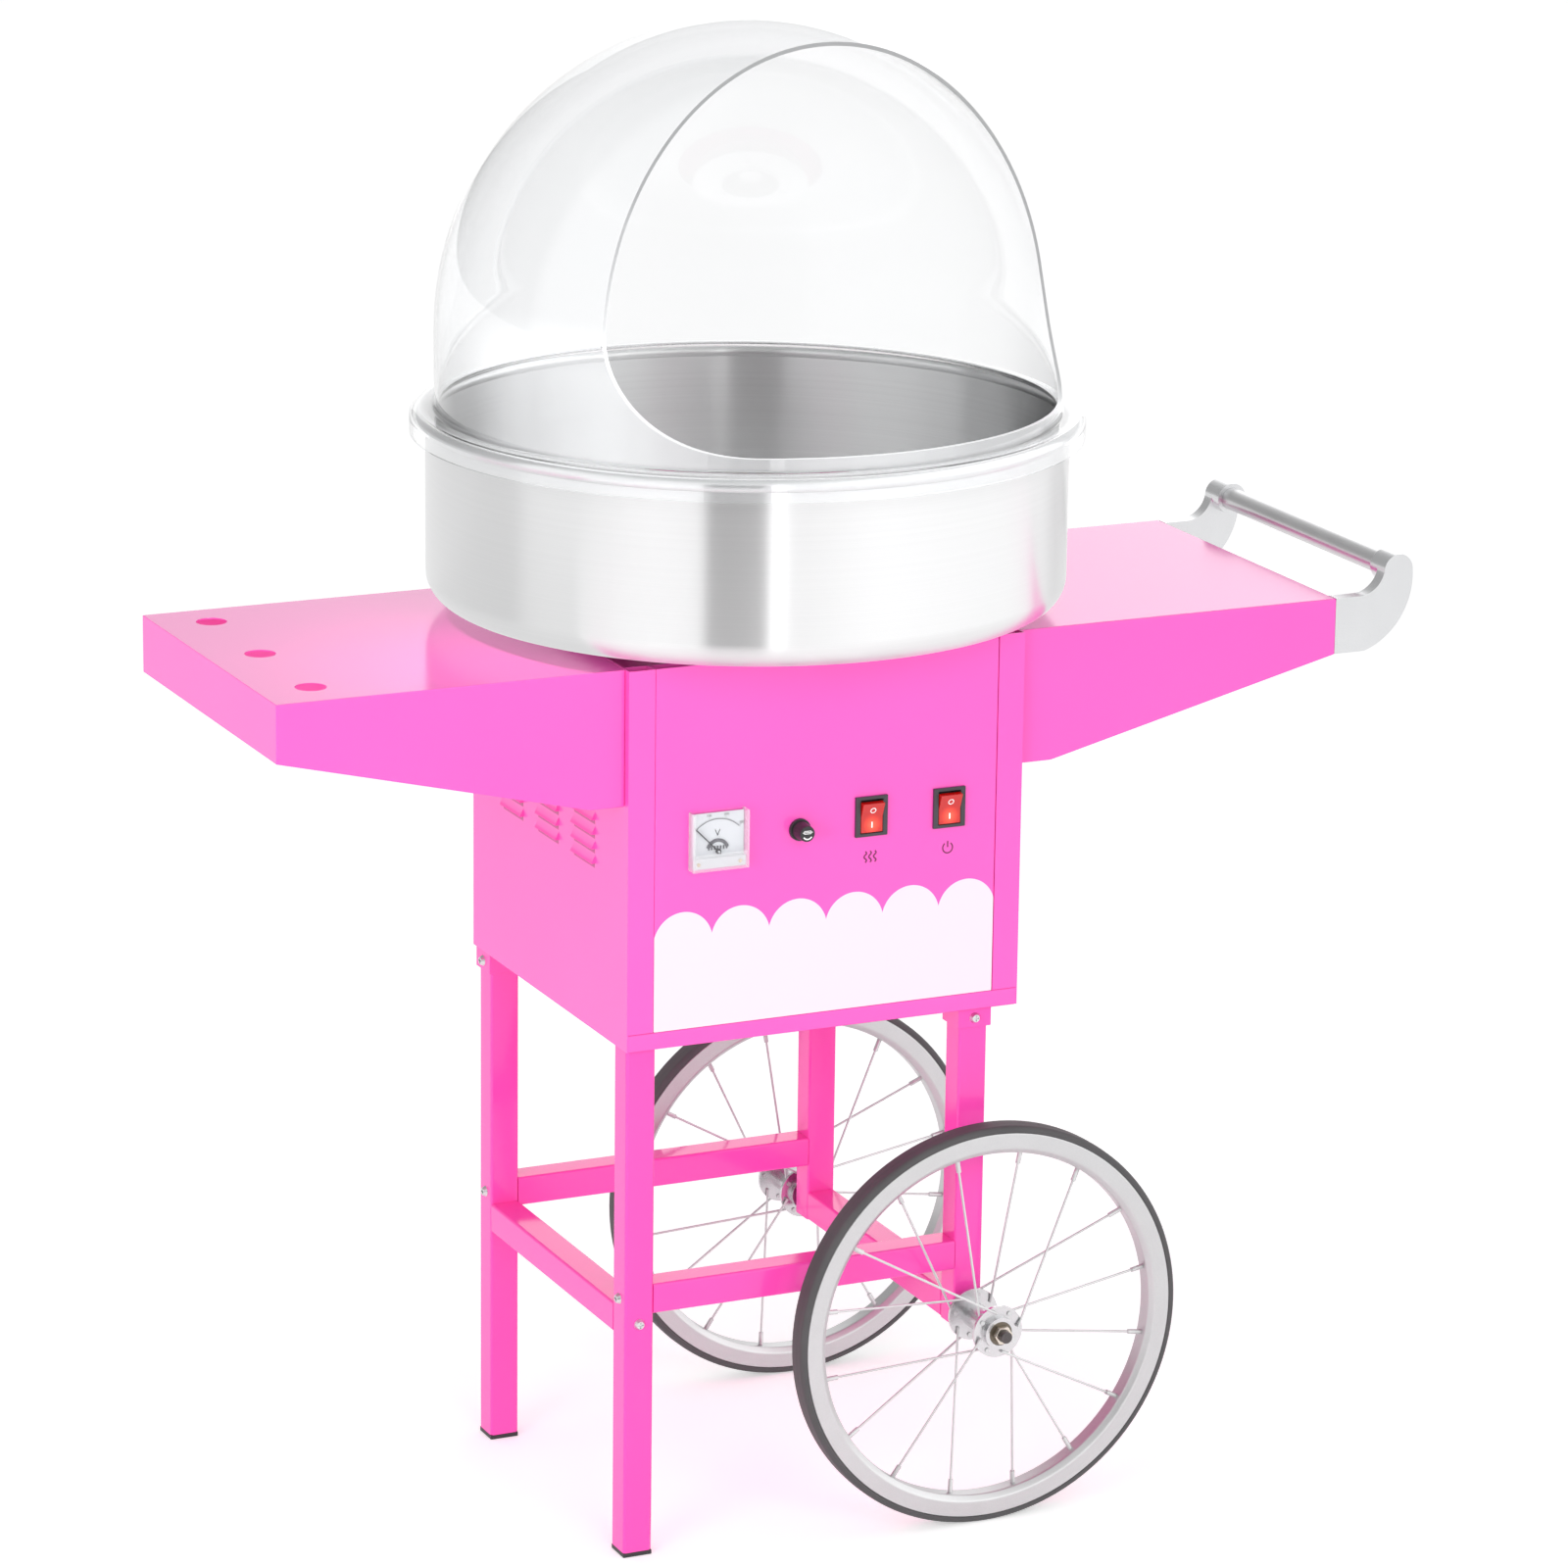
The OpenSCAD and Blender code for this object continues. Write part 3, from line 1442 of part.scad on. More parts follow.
place() brush_holder();
place() carbon_brushes();
place() head_base();
place() heater_ring();
place() head_screen();
place() head_cap();
place() bowl();
place() dome();
place() meter_case();
place() meter_movement();
place() meter_needle();
place() fuse_holder();
place() fuse();
place() fuse_cap();
place() heat_switch();
place() heat_rocker();
place() power_switch();
place() power_rocker();
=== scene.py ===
"""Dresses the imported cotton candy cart: finished pieces, paints and metals, studio light, camera."""
import json
import math

import bmesh
import bpy
from mathutils import Matrix, Vector


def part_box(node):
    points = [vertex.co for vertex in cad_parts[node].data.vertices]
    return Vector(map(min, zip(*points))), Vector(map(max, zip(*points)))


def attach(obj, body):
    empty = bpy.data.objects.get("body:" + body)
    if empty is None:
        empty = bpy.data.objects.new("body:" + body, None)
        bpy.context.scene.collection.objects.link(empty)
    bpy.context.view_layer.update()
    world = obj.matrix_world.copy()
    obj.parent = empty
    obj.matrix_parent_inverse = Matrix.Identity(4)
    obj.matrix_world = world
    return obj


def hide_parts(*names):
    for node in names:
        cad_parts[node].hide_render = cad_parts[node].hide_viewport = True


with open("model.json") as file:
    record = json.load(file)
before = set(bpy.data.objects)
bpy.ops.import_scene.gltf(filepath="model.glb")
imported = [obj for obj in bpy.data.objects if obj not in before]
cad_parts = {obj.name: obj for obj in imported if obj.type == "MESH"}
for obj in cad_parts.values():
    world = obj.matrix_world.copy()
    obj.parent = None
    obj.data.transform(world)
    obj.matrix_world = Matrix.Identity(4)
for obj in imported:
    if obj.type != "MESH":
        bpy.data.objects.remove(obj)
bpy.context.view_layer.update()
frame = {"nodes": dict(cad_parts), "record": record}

# Which body carries each node
RECORD = frame["record"]
BODY_OF = {node: body for body, nodes in RECORD["behaviour"]["bodies"].items() for node in nodes}

# Limits of the modelling tools
WELD = 2e-6
NEAR = 5e-5
FLAT_ANGLE = math.radians(0.5)
EDGE_ANGLE = math.radians(30)
SMOOTH_ANGLE = math.radians(40)
FULL_TURN = math.tau
WHEEL_STEPS = 160
BOWL_STEPS = 192

# Radii of edges, in metres
TUBE_CORNER = 0.0022
FOLD_R = 0.0012
SHEET_EDGE = 0.0003
CAST_EDGE = 0.0011
MOULDED_EDGE = 0.0006
SCREW_EDGE = 0.00025
SCREEN_EDGE = 0.0002
TURNED_EDGE = 0.0004
ROCKER_EDGE = 0.0008
CASE_EDGE = 0.0009
MOTOR_EDGE = 0.001
RIM_EDGE = 0.0012
BUFFER_EDGE = 0.0015

# Thickness of printed marks, and the share of a letter's size that a capital fills
PRINT_T = 0.00012
CAPITAL_SHARE = 0.7


def middle(node):
    """The middle of a CAD node's box."""
    low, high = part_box(node)
    return (low + high) / 2


# Modelling tools


def put_down():
    """Leaves edit mode with nothing selected, ready for a new primitive."""
    if bpy.context.mode != "OBJECT":
        bpy.ops.object.mode_set(mode="OBJECT")
    bpy.ops.object.select_all(action="DESELECT")


def hold(piece):
    """Makes a piece the only one selected, in object mode."""
    put_down()
    piece.select_set(True)
    bpy.context.view_layer.objects.active = piece
    return piece


def open_mesh(piece, kind="FACE"):
    """Puts one piece in edit mode with all of it selected."""
    hold(piece)
    bpy.ops.object.mode_set(mode="EDIT")
    bpy.ops.mesh.select_mode(type=kind)
    bpy.ops.mesh.select_all(action="SELECT")


def pick(piece, parts, test):
    """In edit mode, selects the faces, edges or verts that pass a test, and says how many did."""
    bpy.ops.mesh.select_all(action="DESELECT")
    mesh = bmesh.from_edit_mesh(piece.data)
    chosen = [part for part in getattr(mesh, parts) if test(part)]
    for part in chosen:
        part.select_set(True)
    bmesh.update_edit_mesh(piece.data)
    return len(chosen)


def shape(piece, kind, **settings):
    """Adds a modifier to a piece and applies it."""
    hold(piece)
    step = piece.modifiers.new(kind.title(), kind)
    for name, value in settings.items():
        setattr(step, name, value)
    bpy.ops.object.modifier_apply(modifier=step.name)


def round_off(piece, radius, segments=2):
    """Rounds every sharp edge of a piece."""
    shape(piece, "BEVEL", width=radius, segments=segments, limit_method="ANGLE", angle_limit=EDGE_ANGLE)


def round_edges(piece, test, radius, segments=3):
    """Rounds the edges that pass a test."""
    open_mesh(piece, "EDGE")
    if pick(piece, "edges", test):
        bpy.ops.mesh.bevel(offset=radius, segments=segments, affect="EDGES")
    hold(piece)


def on_box_edge(low, high, ways):
    """Tests whether an edge lies on an edge of a box that runs along one of the given axes."""
    def test(edge):
        a, b = (corner.co for corner in edge.verts)
        way = max(range(3), key=lambda i: abs(a[i] - b[i]))
        if way not in ways:
            return False
        return all(
            abs(a[i] - b[i]) < NEAR and min(abs(a[i] - low[i]), abs(a[i] - high[i])) < NEAR
            for i in range(3) if i != way
        )
    return test


def placed(piece, place):
    """Moves a piece to its place and puts the place into its mesh."""
    hold(piece)
    piece.matrix_world = place
    bpy.ops.object.transform_apply(location=True, rotation=True, scale=True)
    return piece


def joined(name, pieces):
    """Joins pieces into one."""
    hold(pieces[0])
    for piece in pieces:
        piece.select_set(True)
    bpy.ops.object.join()
    whole = bpy.context.object
    whole.name = name
    return whole


def dress(piece, finish, body, replaced=()):
    """Gives a piece its finish and smooth faces, hangs it on its body, and hides the nodes it replaces."""
    piece.data.materials.clear()
    piece.data.materials.append(finish)
    hold(piece)
    bpy.ops.object.shade_smooth_by_angle(angle=SMOOTH_ANGLE)
    shape(piece, "WEIGHTED_NORMAL", keep_sharp=True)
    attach(piece, body)
    if replaced:
        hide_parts(*replaced)
    return piece


def stand_in(piece, finish, node):
    """Dresses a piece that stands for one CAD node."""
    return dress(piece, finish, BODY_OF[node], (node,))


def copied(node):
    """A copy of a CAD node's mesh, welded, with its flat faces joined."""
    put_down()
    piece = bpy.data.objects.new(node + "_finished", frame["nodes"][node].data.copy())
    bpy.context.scene.collection.objects.link(piece)
    open_mesh(piece)
    bpy.ops.mesh.remove_doubles(threshold=WELD)
    bpy.ops.mesh.dissolve_limited(angle_limit=FLAT_ANGLE)
    return hold(piece)


def softened(node, finish, edge=0.0, segments=2, fold_ways=(), fold_r=FOLD_R):
    """A copy of a CAD node with its folds and edges rounded."""
    piece = copied(node)
    if fold_ways:
        round_edges(piece, on_box_edge(*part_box(node), fold_ways), fold_r)
    if edge:
        round_off(piece, edge, segments)
    return stand_in(piece, finish, node)


def arc(centre, radius, start, end, count):
    """Points on an arc about a centre, from one angle to another in degrees."""
    turns = [math.radians(start + (end - start) * i / (count - 1)) for i in range(count)]
    return [(centre[0] + radius * math.cos(t), centre[1] + radius * math.sin(t)) for t in turns]


def turned(name, profile, steps, closed=True):
    """Spins a profile of (radius, height) points about Z into a round piece."""
    put_down()
    bpy.ops.mesh.primitive_circle_add(vertices=len(profile), radius=1)
    piece = bpy.context.object
    piece.name = name
    for corner, (radius, height) in zip(piece.data.vertices, profile):
        corner.co = (radius, 0, height)
    open_mesh(piece, "EDGE")
    if not closed:
        ends = {0, len(profile) - 1}
        pick(piece, "edges", lambda edge: {corner.index for corner in edge.verts} == ends)
        bpy.ops.mesh.delete(type="EDGE")
        bpy.ops.mesh.select_all(action="SELECT")
    bpy.ops.mesh.spin(steps=steps, angle=FULL_TURN, center=(0, 0, 0), axis=(0, 0, 1))
    bpy.ops.mesh.select_all(action="SELECT")
    bpy.ops.mesh.remove_doubles(threshold=WELD)
    bpy.ops.mesh.normals_make_consistent(inside=False)
    return hold(piece)


def strip(path, width, thickness=PRINT_T):
    """A thin raised line of one width along a path of (x, y) points, lying on z = 0."""
    put_down()
    bpy.ops.mesh.primitive_grid_add(x_subdivisions=len(path) - 1, y_subdivisions=1, size=1)
    piece = bpy.context.object
    points = [Vector(point) for point in path]
    last = len(points) - 1
    loops = (points[0] - points[-1]).length < NEAR
    rows = sorted(piece.data.vertices, key=lambda corner: (corner.co.y, corner.co.x))
    for i, point in enumerate(points):
        before = points[i - 1] if i else points[last - 1 if loops else 0]
        after = points[i + 1] if i < last else points[1 if loops else last]
        ahead = (after - before).normalized()
        across = Vector((-ahead.y, ahead.x)) * width / 2
        rows[i].co = (*(point - across), 0)
        rows[last + 1 + i].co = (*(point + across), 0)
    open_mesh(piece)
    bpy.ops.mesh.remove_doubles(threshold=WELD)
    shape(piece, "SOLIDIFY", thickness=thickness, offset=1)
    return piece


def lettered(word, height):
    """A dial number or unit, middled on the origin and lying on z = 0."""
    put_down()
    bpy.ops.object.text_add()
    text = bpy.context.object
    text.data.body = word
    text.data.size = height / CAPITAL_SHARE
    text.data.align_x = "CENTER"
    text.data.align_y = "CENTER"
    text.data.extrude = PRINT_T / 2
    bpy.ops.object.convert(target="MESH")
    return bpy.context.object


# Shader tools


class Value:
    """The value of a shader socket, which takes part in sums."""

    def __init__(self, shader, socket):
        self.shader = shader
        self.socket = socket

    def math(self, operation, *terms):
        """One step of a sum."""
        return self.shader.node("Math", {"operation": operation}, dict(enumerate(terms)))

    def __add__(self, other):
        return self.math("ADD", self, other)

    __radd__ = __add__

    def __sub__(self, other):
        return self.math("SUBTRACT", self, other)

    def __rsub__(self, other):
        return self.math("SUBTRACT", other, self)

    def __mul__(self, other):
        return self.math("MULTIPLY", self, other)

    __rmul__ = __mul__

    def __lt__(self, other):
        return self.math("LESS_THAN", self, other)

    def __gt__(self, other):
        return self.math("GREATER_THAN", self, other)

    def root(self):
        """The square root."""
        return self.math("SQRT", self)

    def ramp(self, start, end, low=0.0, high=1.0):
        """Goes smoothly from low to high as the value goes from start to end."""
        terms = {0: self, 1: start, 2: end, 3: low, 4: high}
        return self.shader.node("MapRange", {"interpolation_type": "SMOOTHSTEP"}, terms)


class Shader:
    """A node tree under construction."""

    def __init__(self, tree):
        self.tree = tree
        tree.nodes.clear()

    def node(self, kind, settings=(), sockets=(), output=0):
        """Makes any node, links or sets its inputs, and gives the value of one output."""
        made = self.tree.nodes.new("ShaderNode" + kind)
        for name, value in dict(settings).items():
            setattr(made, name, value)
        for name, value in dict(sockets).items():
            if isinstance(value, Value):
                self.tree.links.new(value.socket, made.inputs[name])
            else:
                made.inputs[name].default_value = value
        return Value(self, made.outputs[output])

    def axes(self, place):
        """The three parts of a place."""
        split = self.node("SeparateXYZ", sockets={0: place})
        return [Value(self, socket) for socket in split.socket.node.outputs]

    def blend(self, share, start, end):
        """A colour between two colours."""
        return self.node("Mix", {"data_type": "RGBA"}, {0: share, 6: start, 7: end}, output=2)


class Finish(Shader):
    """A material whose patterns lie on object coordinates, in metres."""

    def __init__(self, name):
        self.material = bpy.data.materials.new(name)
        self.material.use_nodes = True
        super().__init__(self.material.node_tree)
        self.place = self.node("TexCoord", output="Object")

    def noise(self, per_metre, detail=2.0, stretch=(1, 1, 1), place=None):
        """Noise with so many cells a metre, more along an axis that is stretched."""
        spread = [per_metre * share for share in stretch]
        spot = self.node("VectorMath", {"operation": "MULTIPLY"}, {0: place or self.place, 1: spread})
        return self.node("TexNoise", {}, {"Vector": spot, "Scale": 1.0, "Detail": detail})

    def bump(self, height, depth, strength):
        """A normal that follows a height."""
        return self.node("Bump", {}, {"Height": height, "Distance": depth, "Strength": strength})

    def radius(self, x):
        """Distance from an upright axis through (x, 0)."""
        px, py, _ = self.axes(self.place)
        return ((px - x) * (px - x) + py * py).root()

    def done(self, **sockets):
        """Closes the material with a Principled surface. Socket names have _ for spaces."""
        plain = {name.replace("_", " "): value for name, value in sockets.items()}
        surface = self.node("BsdfPrincipled", {}, plain)
        out = self.tree.nodes.new("ShaderNodeOutputMaterial")
        self.tree.links.new(surface.socket, out.inputs["Surface"])
        return self.material


# Sizes of the bowl and the dome

SPINDLE = Vector((middle("bowl").x, middle("bowl").y, 0))
BOWL_LOW, BOWL_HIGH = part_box("bowl")
BOWL_T = 0.001
BEAD_R = 0.0045
BEAD_OUT = 0.002
BOWL_CORNER_R = 0.0215
COLLAR_R = 0.0965
COLLAR_H = 0.0055
COLLAR_FILLET = 0.002
WALL_STEP = 0.02
DOME_LOW, DOME_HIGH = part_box("dome")
DOME_T = 0.003
DOME_Z = BOWL_HIGH.z + 0.066
RING_TOP_Z = BOWL_HIGH.z + DOME_T
RING_GAP = 0.0003
RING_WIDTH = 0.020
RING_ROUND = 0.0065
RING_FILLET = 0.004
MOUTH_SILL_Z = BOWL_HIGH.z + 0.014
MOUTH_Y = 0.100
MOUTH_CORNER_R = 0.102
MOUTH_LEAN = math.radians(5)
MOUTH_TURN = math.radians(16)
LEAN_BACK, LEAN_UP = math.sin(MOUTH_LEAN), math.cos(MOUTH_LEAN)


def mouth_centre():
    """Centre of the round corner between the mouth's sill and its leaning plane, in a side view."""
    run = (MOUTH_SILL_Z + MOUTH_CORNER_R * (1 - LEAN_BACK) - DOME_Z) / LEAN_UP
    touch_y = -MOUTH_Y + run * LEAN_BACK
    touch_z = DOME_Z + run * LEAN_UP
    return touch_y - MOUTH_CORNER_R * LEAN_UP, touch_z + MOUTH_CORNER_R * LEAN_BACK


# Finishes

PINK = (0.93, 0.105, 0.500, 1)
PINK_DEEP = (0.90, 0.092, 0.475, 1)
# The under-frame's pink: the same paint as the sheets', made deeper as painted shade
SHADED_FRAME_PINK = (0.93, 0.072, 0.440, 1)
SHADED_FRAME_PINK_DEEP = (0.90, 0.063, 0.415, 1)
PALE_PRINT = (0.84, 0.66, 0.775, 1)
PINK_ROUGH = 0.11
DRIFT_PER_M = 7
PEEL_PER_M = 420
PEEL_DEPTH = 0.00003


def drifting(finish, deep=PINK_DEEP, bright=PINK):
    """A colour that drifts a little over the sheet."""
    return finish.blend(finish.noise(DRIFT_PER_M, detail=1), deep, bright)


def gloss_coat(finish, colour):
    """Sprayed and baked gloss: a fine orange peel, and a shine that drifts a little."""
    peel = finish.noise(PEEL_PER_M, detail=1)
    drift = finish.noise(DRIFT_PER_M, detail=1)
    return finish.done(
        Base_Color=colour,
        Roughness=PINK_ROUGH + 0.05 * drift,
        Normal=finish.bump(peel, PEEL_DEPTH, 0.5),
    )


def pink_paint():
    """The coat of the shelves, the floor tray and the top plate."""
    finish = Finish("pink_gloss_coat")
    return gloss_coat(finish, drifting(finish))


def shaded_frame_paint():
    """The under-frame's coat: the sheets' paint made a little deeper, as painted shade."""
    finish = Finish("shaded_frame_gloss_coat")
    return gloss_coat(finish, drifting(finish, SHADED_FRAME_PINK_DEEP, SHADED_FRAME_PINK))


# Rows and columns of louvres on the cabinet's sides, and the shade below each lip
LOUVRE_ROWS = 5
LOUVRE_COLUMNS = 3
LOUVRE_PITCH = 0.012
LOUVRE_COLUMN_PITCH = 0.0745
LOUVRE_LENGTH = 0.043
LOUVRE_FIRST = 0.139
LOUVRE_SHADE = (0.0030, 0.0046)
SHADE_SHARE = 0.9
SHADED_PINK = (0.42, 0.013, 0.18, 1)


def shell_paint():
    """Pink coat with a painted shade below each louvre's lip, where the lip keeps the light off."""
    finish = Finish("louvred_shell_coat")
    _, y, z = finish.axes(finish.place)
    up = z - (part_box("cabinet_shell")[0].z + LOUVRE_FIRST)
    below = finish.node("Math", {"operation": "FLOORED_MODULO"}, {0: 0 - up, 1: LOUVRE_PITCH})
    across = finish.node("Math", {"operation": "PINGPONG"}, {0: y, 1: LOUVRE_COLUMN_PITCH / 2})
    reach = LOUVRE_COLUMNS / 2 * LOUVRE_COLUMN_PITCH
    rows = (up > -LOUVRE_SHADE[1]) * (up < (LOUVRE_ROWS - 1) * LOUVRE_PITCH + NEAR)
    columns = (across < LOUVRE_LENGTH / 2) * (y < reach) * (y > -reach)
    shade = below.ramp(*LOUVRE_SHADE, SHADE_SHARE, 0.0) * rows * columns
    return gloss_coat(finish, finish.blend(shade, drifting(finish), SHADED_PINK))


# The printed band along the panel's foot: a row of equal scallops
SCALLOPS = 6
SCALLOP_RISE = 0.020
SCALLOP_BASE = 0.077
PRINT_REACH = 10 * NEAR


def panel_paint():
    """Pink coat with a pale scalloped band printed along the foot of the panel's front."""
    finish = Finish("printed_panel_coat")
    low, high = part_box("control_panel")
    pitch = (high.x - low.x) / SCALLOPS
    round_r = (pitch * pitch / 4 + SCALLOP_RISE * SCALLOP_RISE) / (2 * SCALLOP_RISE)
    x, y, z = finish.axes(finish.place)
    across = finish.node("Math", {"operation": "PINGPONG"}, {0: x - low.x - pitch / 2, 1: pitch / 2})
    above = z - (low.z + SCALLOP_BASE + SCALLOP_RISE - round_r)
    above = finish.node("Math", {"operation": "MAXIMUM"}, {0: above, 1: 0.0})
    inside = (across * across + above * above) < round_r * round_r
    front = y < low.y + PRINT_REACH
    return gloss_coat(finish, finish.blend(inside * front, drifting(finish), PALE_PRINT))


# The bowl's steel: fine lines and broad bands round its axis
STEEL_DARK = (0.70, 0.702, 0.706, 1)
STEEL_LIGHT = (0.86, 0.862, 0.866, 1)
STEEL_LINES_PER_M = 2600
STEEL_BANDS_PER_M = 300
STEEL_LINE_DEPTH = 0.000006


def brushed_bowl():
    """Spun stainless steel with fine lines round the axis."""
    finish = Finish("spun_bowl_steel")
    spread = finish.radius(middle("bowl").x)
    _, _, z = finish.axes(finish.place)
    along = finish.node("CombineXYZ", sockets={0: spread, 1: z})
    fine = finish.noise(STEEL_LINES_PER_M, detail=3, place=along)
    broad = finish.noise(STEEL_BANDS_PER_M, detail=2, place=along)
    lines = 0.7 * fine + 0.3 * broad
    return finish.done(
        Base_Color=finish.blend(lines, STEEL_DARK, STEEL_LIGHT),
        Metallic=1.0,
        Roughness=0.24 + 0.12 * lines,
        Anisotropic=1.0,
        Anisotropic_Rotation=0.25,
        Normal=finish.bump(lines, STEEL_LINE_DEPTH, 0.6),
    )


# The dome's plastic, painted light along its cut edge, and slight painted light on its foot in front that
# gives it a hazy look
ACRYLIC_IOR = 1.49
EDGE_BAND = 0.0002
EDGE_PAINTED_LIGHT = (0.38, 0.385, 0.39, 1)
FOOT_RISE = 0.05
FOOT_FADE = 0.12
FOOT_PAINTED_LIGHT = (0.15, 0.151, 0.153, 1)
RING_PAINTED_LIGHT_SHARE = 0.25
UNLIT = (0, 0, 0, 1)


def on_line(off):
    """One where a distance is next to nothing."""
    return (off < EDGE_BAND) * (off > -EDGE_BAND)


def clear_acrylic():
    """Clear formed plastic, faintly hazed by wiping, with painted light along its cut edge and on its foot
    in front.
    """
    finish = Finish("clear_acrylic")
    haze = finish.noise(90, detail=4, stretch=(1, 1, 0.2))
    x, y, z = finish.axes(finish.place)
    ahead = (y - SPINDLE.y) * math.cos(MOUTH_TURN) - (x - SPINDLE.x) * math.sin(MOUTH_TURN)
    centre_y, centre_z = mouth_centre()
    off_plane = ahead * LEAN_UP - (z - DOME_Z) * LEAN_BACK + MOUTH_Y * LEAN_UP
    off_sill = z - MOUTH_SILL_Z
    dy = ahead - centre_y
    dz = z - centre_z
    off_round = (dy * dy + dz * dz).root() - MOUTH_CORNER_R
    # The mouth's cut edge, where painted light goes
    cut = on_line(off_plane) * (dz > -MOUTH_CORNER_R * LEAN_BACK) + on_line(off_sill) * (dy < 0)
    cut = cut + on_line(off_round) * (dy > 0) * (dz < 0)
    edge = cut > 0.5
    # Painted light on the foot of the wall in front: fading upward and backward, fainter over the ring
    above_ring = z.ramp(RING_TOP_Z, RING_TOP_Z + RING_FILLET, RING_PAINTED_LIGHT_SHARE, 1.0)
    wall = above_ring * z.ramp(DOME_Z, DOME_Z + FOOT_RISE, 1.0, 0.0)
    foot = wall * y.ramp(SPINDLE.y - FOOT_FADE, SPINDLE.y, 1.0, 0.0) * (0.85 + 0.3 * haze)
    foot_light = finish.blend(foot, UNLIT, FOOT_PAINTED_LIGHT)
    return finish.done(
        Base_Color=(0.985, 0.99, 0.995, 1),
        Roughness=0.012 * haze.ramp(0.45, 0.8) + 0.3 * edge,
        IOR=ACRYLIC_IOR,
        Transmission_Weight=1.0,
        Emission_Color=finish.blend(edge, foot_light, EDGE_PAINTED_LIGHT),
        Emission_Strength=1.0,
    )


# How far in from the meter's sides the milkiness goes, and how high its frosted foot is
CASE_WALL = (0.0030, 0.0012)
CASE_FOOT = (0.0140, 0.0146)


def milky_case():
    """Thin clear styrene: milky along its edges, frosted below the dial."""
    finish = Finish("milky_meter_case")
    low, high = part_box("meter_case")
    half = (high.x - low.x) / 2
    x, _, z = finish.axes(finish.place)
    grain = finish.noise(700, detail=2)
    side = finish.node("Math", {"operation": "ABSOLUTE"}, {0: x - middle("meter_case").x})
    edge = side.ramp(half - CASE_WALL[0], half - CASE_WALL[1])
    foot = z.ramp(low.z + CASE_FOOT[0], low.z + CASE_FOOT[1], 1.0, 0.0)
    return finish.done(
        Base_Color=finish.blend(grain, (0.78, 0.78, 0.80, 1), (0.88, 0.88, 0.90, 1)),
        Roughness=0.12 + 0.1 * grain,
        Alpha=0.04 + 0.30 * edge + 0.22 * foot * (1 - edge),
    )


def plated(name, dark, light, roughness, grain=900, depth=0.000006, stretch=(1, 1, 1)):
    """Bare or plated metal with a grain of its own scale and direction."""
    finish = Finish(name)
    lines = finish.noise(grain, detail=3, stretch=stretch)
    cloud = finish.noise(35, detail=2)
    return finish.done(
        Base_Color=finish.blend(0.6 * lines + 0.4 * cloud, dark, light),
        Metallic=1.0,
        Roughness=roughness + 0.10 * lines,
        Normal=finish.bump(lines, depth, 0.6),
    )


def moulded(name, dark, light, roughness, grain=1500, depth=0.00002):
    """Moulded plastic, rubber or enamel with a fine skin."""
    finish = Finish(name)
    skin = finish.noise(grain, detail=2)
    cloud = finish.noise(40, detail=2)
    return finish.done(
        Base_Color=finish.blend(cloud, dark, light),
        Roughness=roughness + 0.12 * cloud,
        Normal=finish.bump(skin, depth, 0.5),
    )


def turned_alloy():
    """Lathe-turned alloy with rings about the spindle."""
    finish = Finish("turned_head_alloy")
    spread = finish.radius(middle("head_base").x)
    _, _, z = finish.axes(finish.place)
    rings = finish.noise(1400, detail=2, place=finish.node("CombineXYZ", sockets={0: spread, 1: z}))
    return finish.done(
        Base_Color=finish.blend(rings, (0.62, 0.62, 0.63, 1), (0.82, 0.82, 0.83, 1)),
        Metallic=1.0,
        Roughness=0.22 + 0.14 * rings,
        Normal=finish.bump(rings, 0.00001, 0.6),
    )


# The lamp behind a rocker: how far below its middle, and how far its light reaches
GLOW_DROP = 0.0065
GLOW_R = 0.011


def lit_red(node):
    """Clear red plastic with a lamp behind the lower half."""
    finish = Finish("lit_red_" + node)
    at = middle(node)
    x, _, z = finish.axes(finish.place)
    dx = x - at.x
    dz = z - (at.z - GLOW_DROP)
    glow = (dx * dx + dz * dz).root().ramp(0.0, GLOW_R, 1.0, 0.0)
    grain = finish.noise(900, detail=1)
    colour = finish.blend(glow, (0.48, 0.003, 0.002, 1), (0.85, 0.03, 0.012, 1))
    light = finish.blend(glow * glow, (0.06, 0.0, 0.0, 1), (1.0, 0.17, 0.08, 1))
    return finish.done(
        Base_Color=colour,
        Roughness=0.16 + 0.06 * grain,
        Emission_Color=light,
        Emission_Strength=0.6,
        Coat_Weight=0.5,
    )


FUSE_GLASS_R = 0.0031


def fuse_skin():
    """Black carrier, and a bright metal-ended cartridge behind it."""
    finish = Finish("carrier_and_cartridge")
    at = middle("fuse")
    x, _, z = finish.axes(finish.place)
    dx = x - at.x
    dz = z - at.z
    bright = (dx * dx + dz * dz) < FUSE_GLASS_R * FUSE_GLASS_R
    grain = finish.noise(1200, detail=2)
    return finish.done(
        Base_Color=finish.blend(bright, (0.02, 0.02, 0.022, 1), (0.72, 0.71, 0.69, 1)),
        Metallic=bright,
        Roughness=0.25 + 0.15 * grain,
    )


def glowing_mark():
    """White print with the rocker's lamp behind it."""
    finish = Finish("white_rocker_mark")
    soft = finish.noise(800, detail=1)
    return finish.done(
        Base_Color=finish.blend(soft, (0.9, 0.88, 0.86, 1), (1, 1, 1, 1)),
        Roughness=0.4,
        Emission_Color=(1.0, 0.85, 0.8, 1),
        Emission_Strength=0.5,
    )


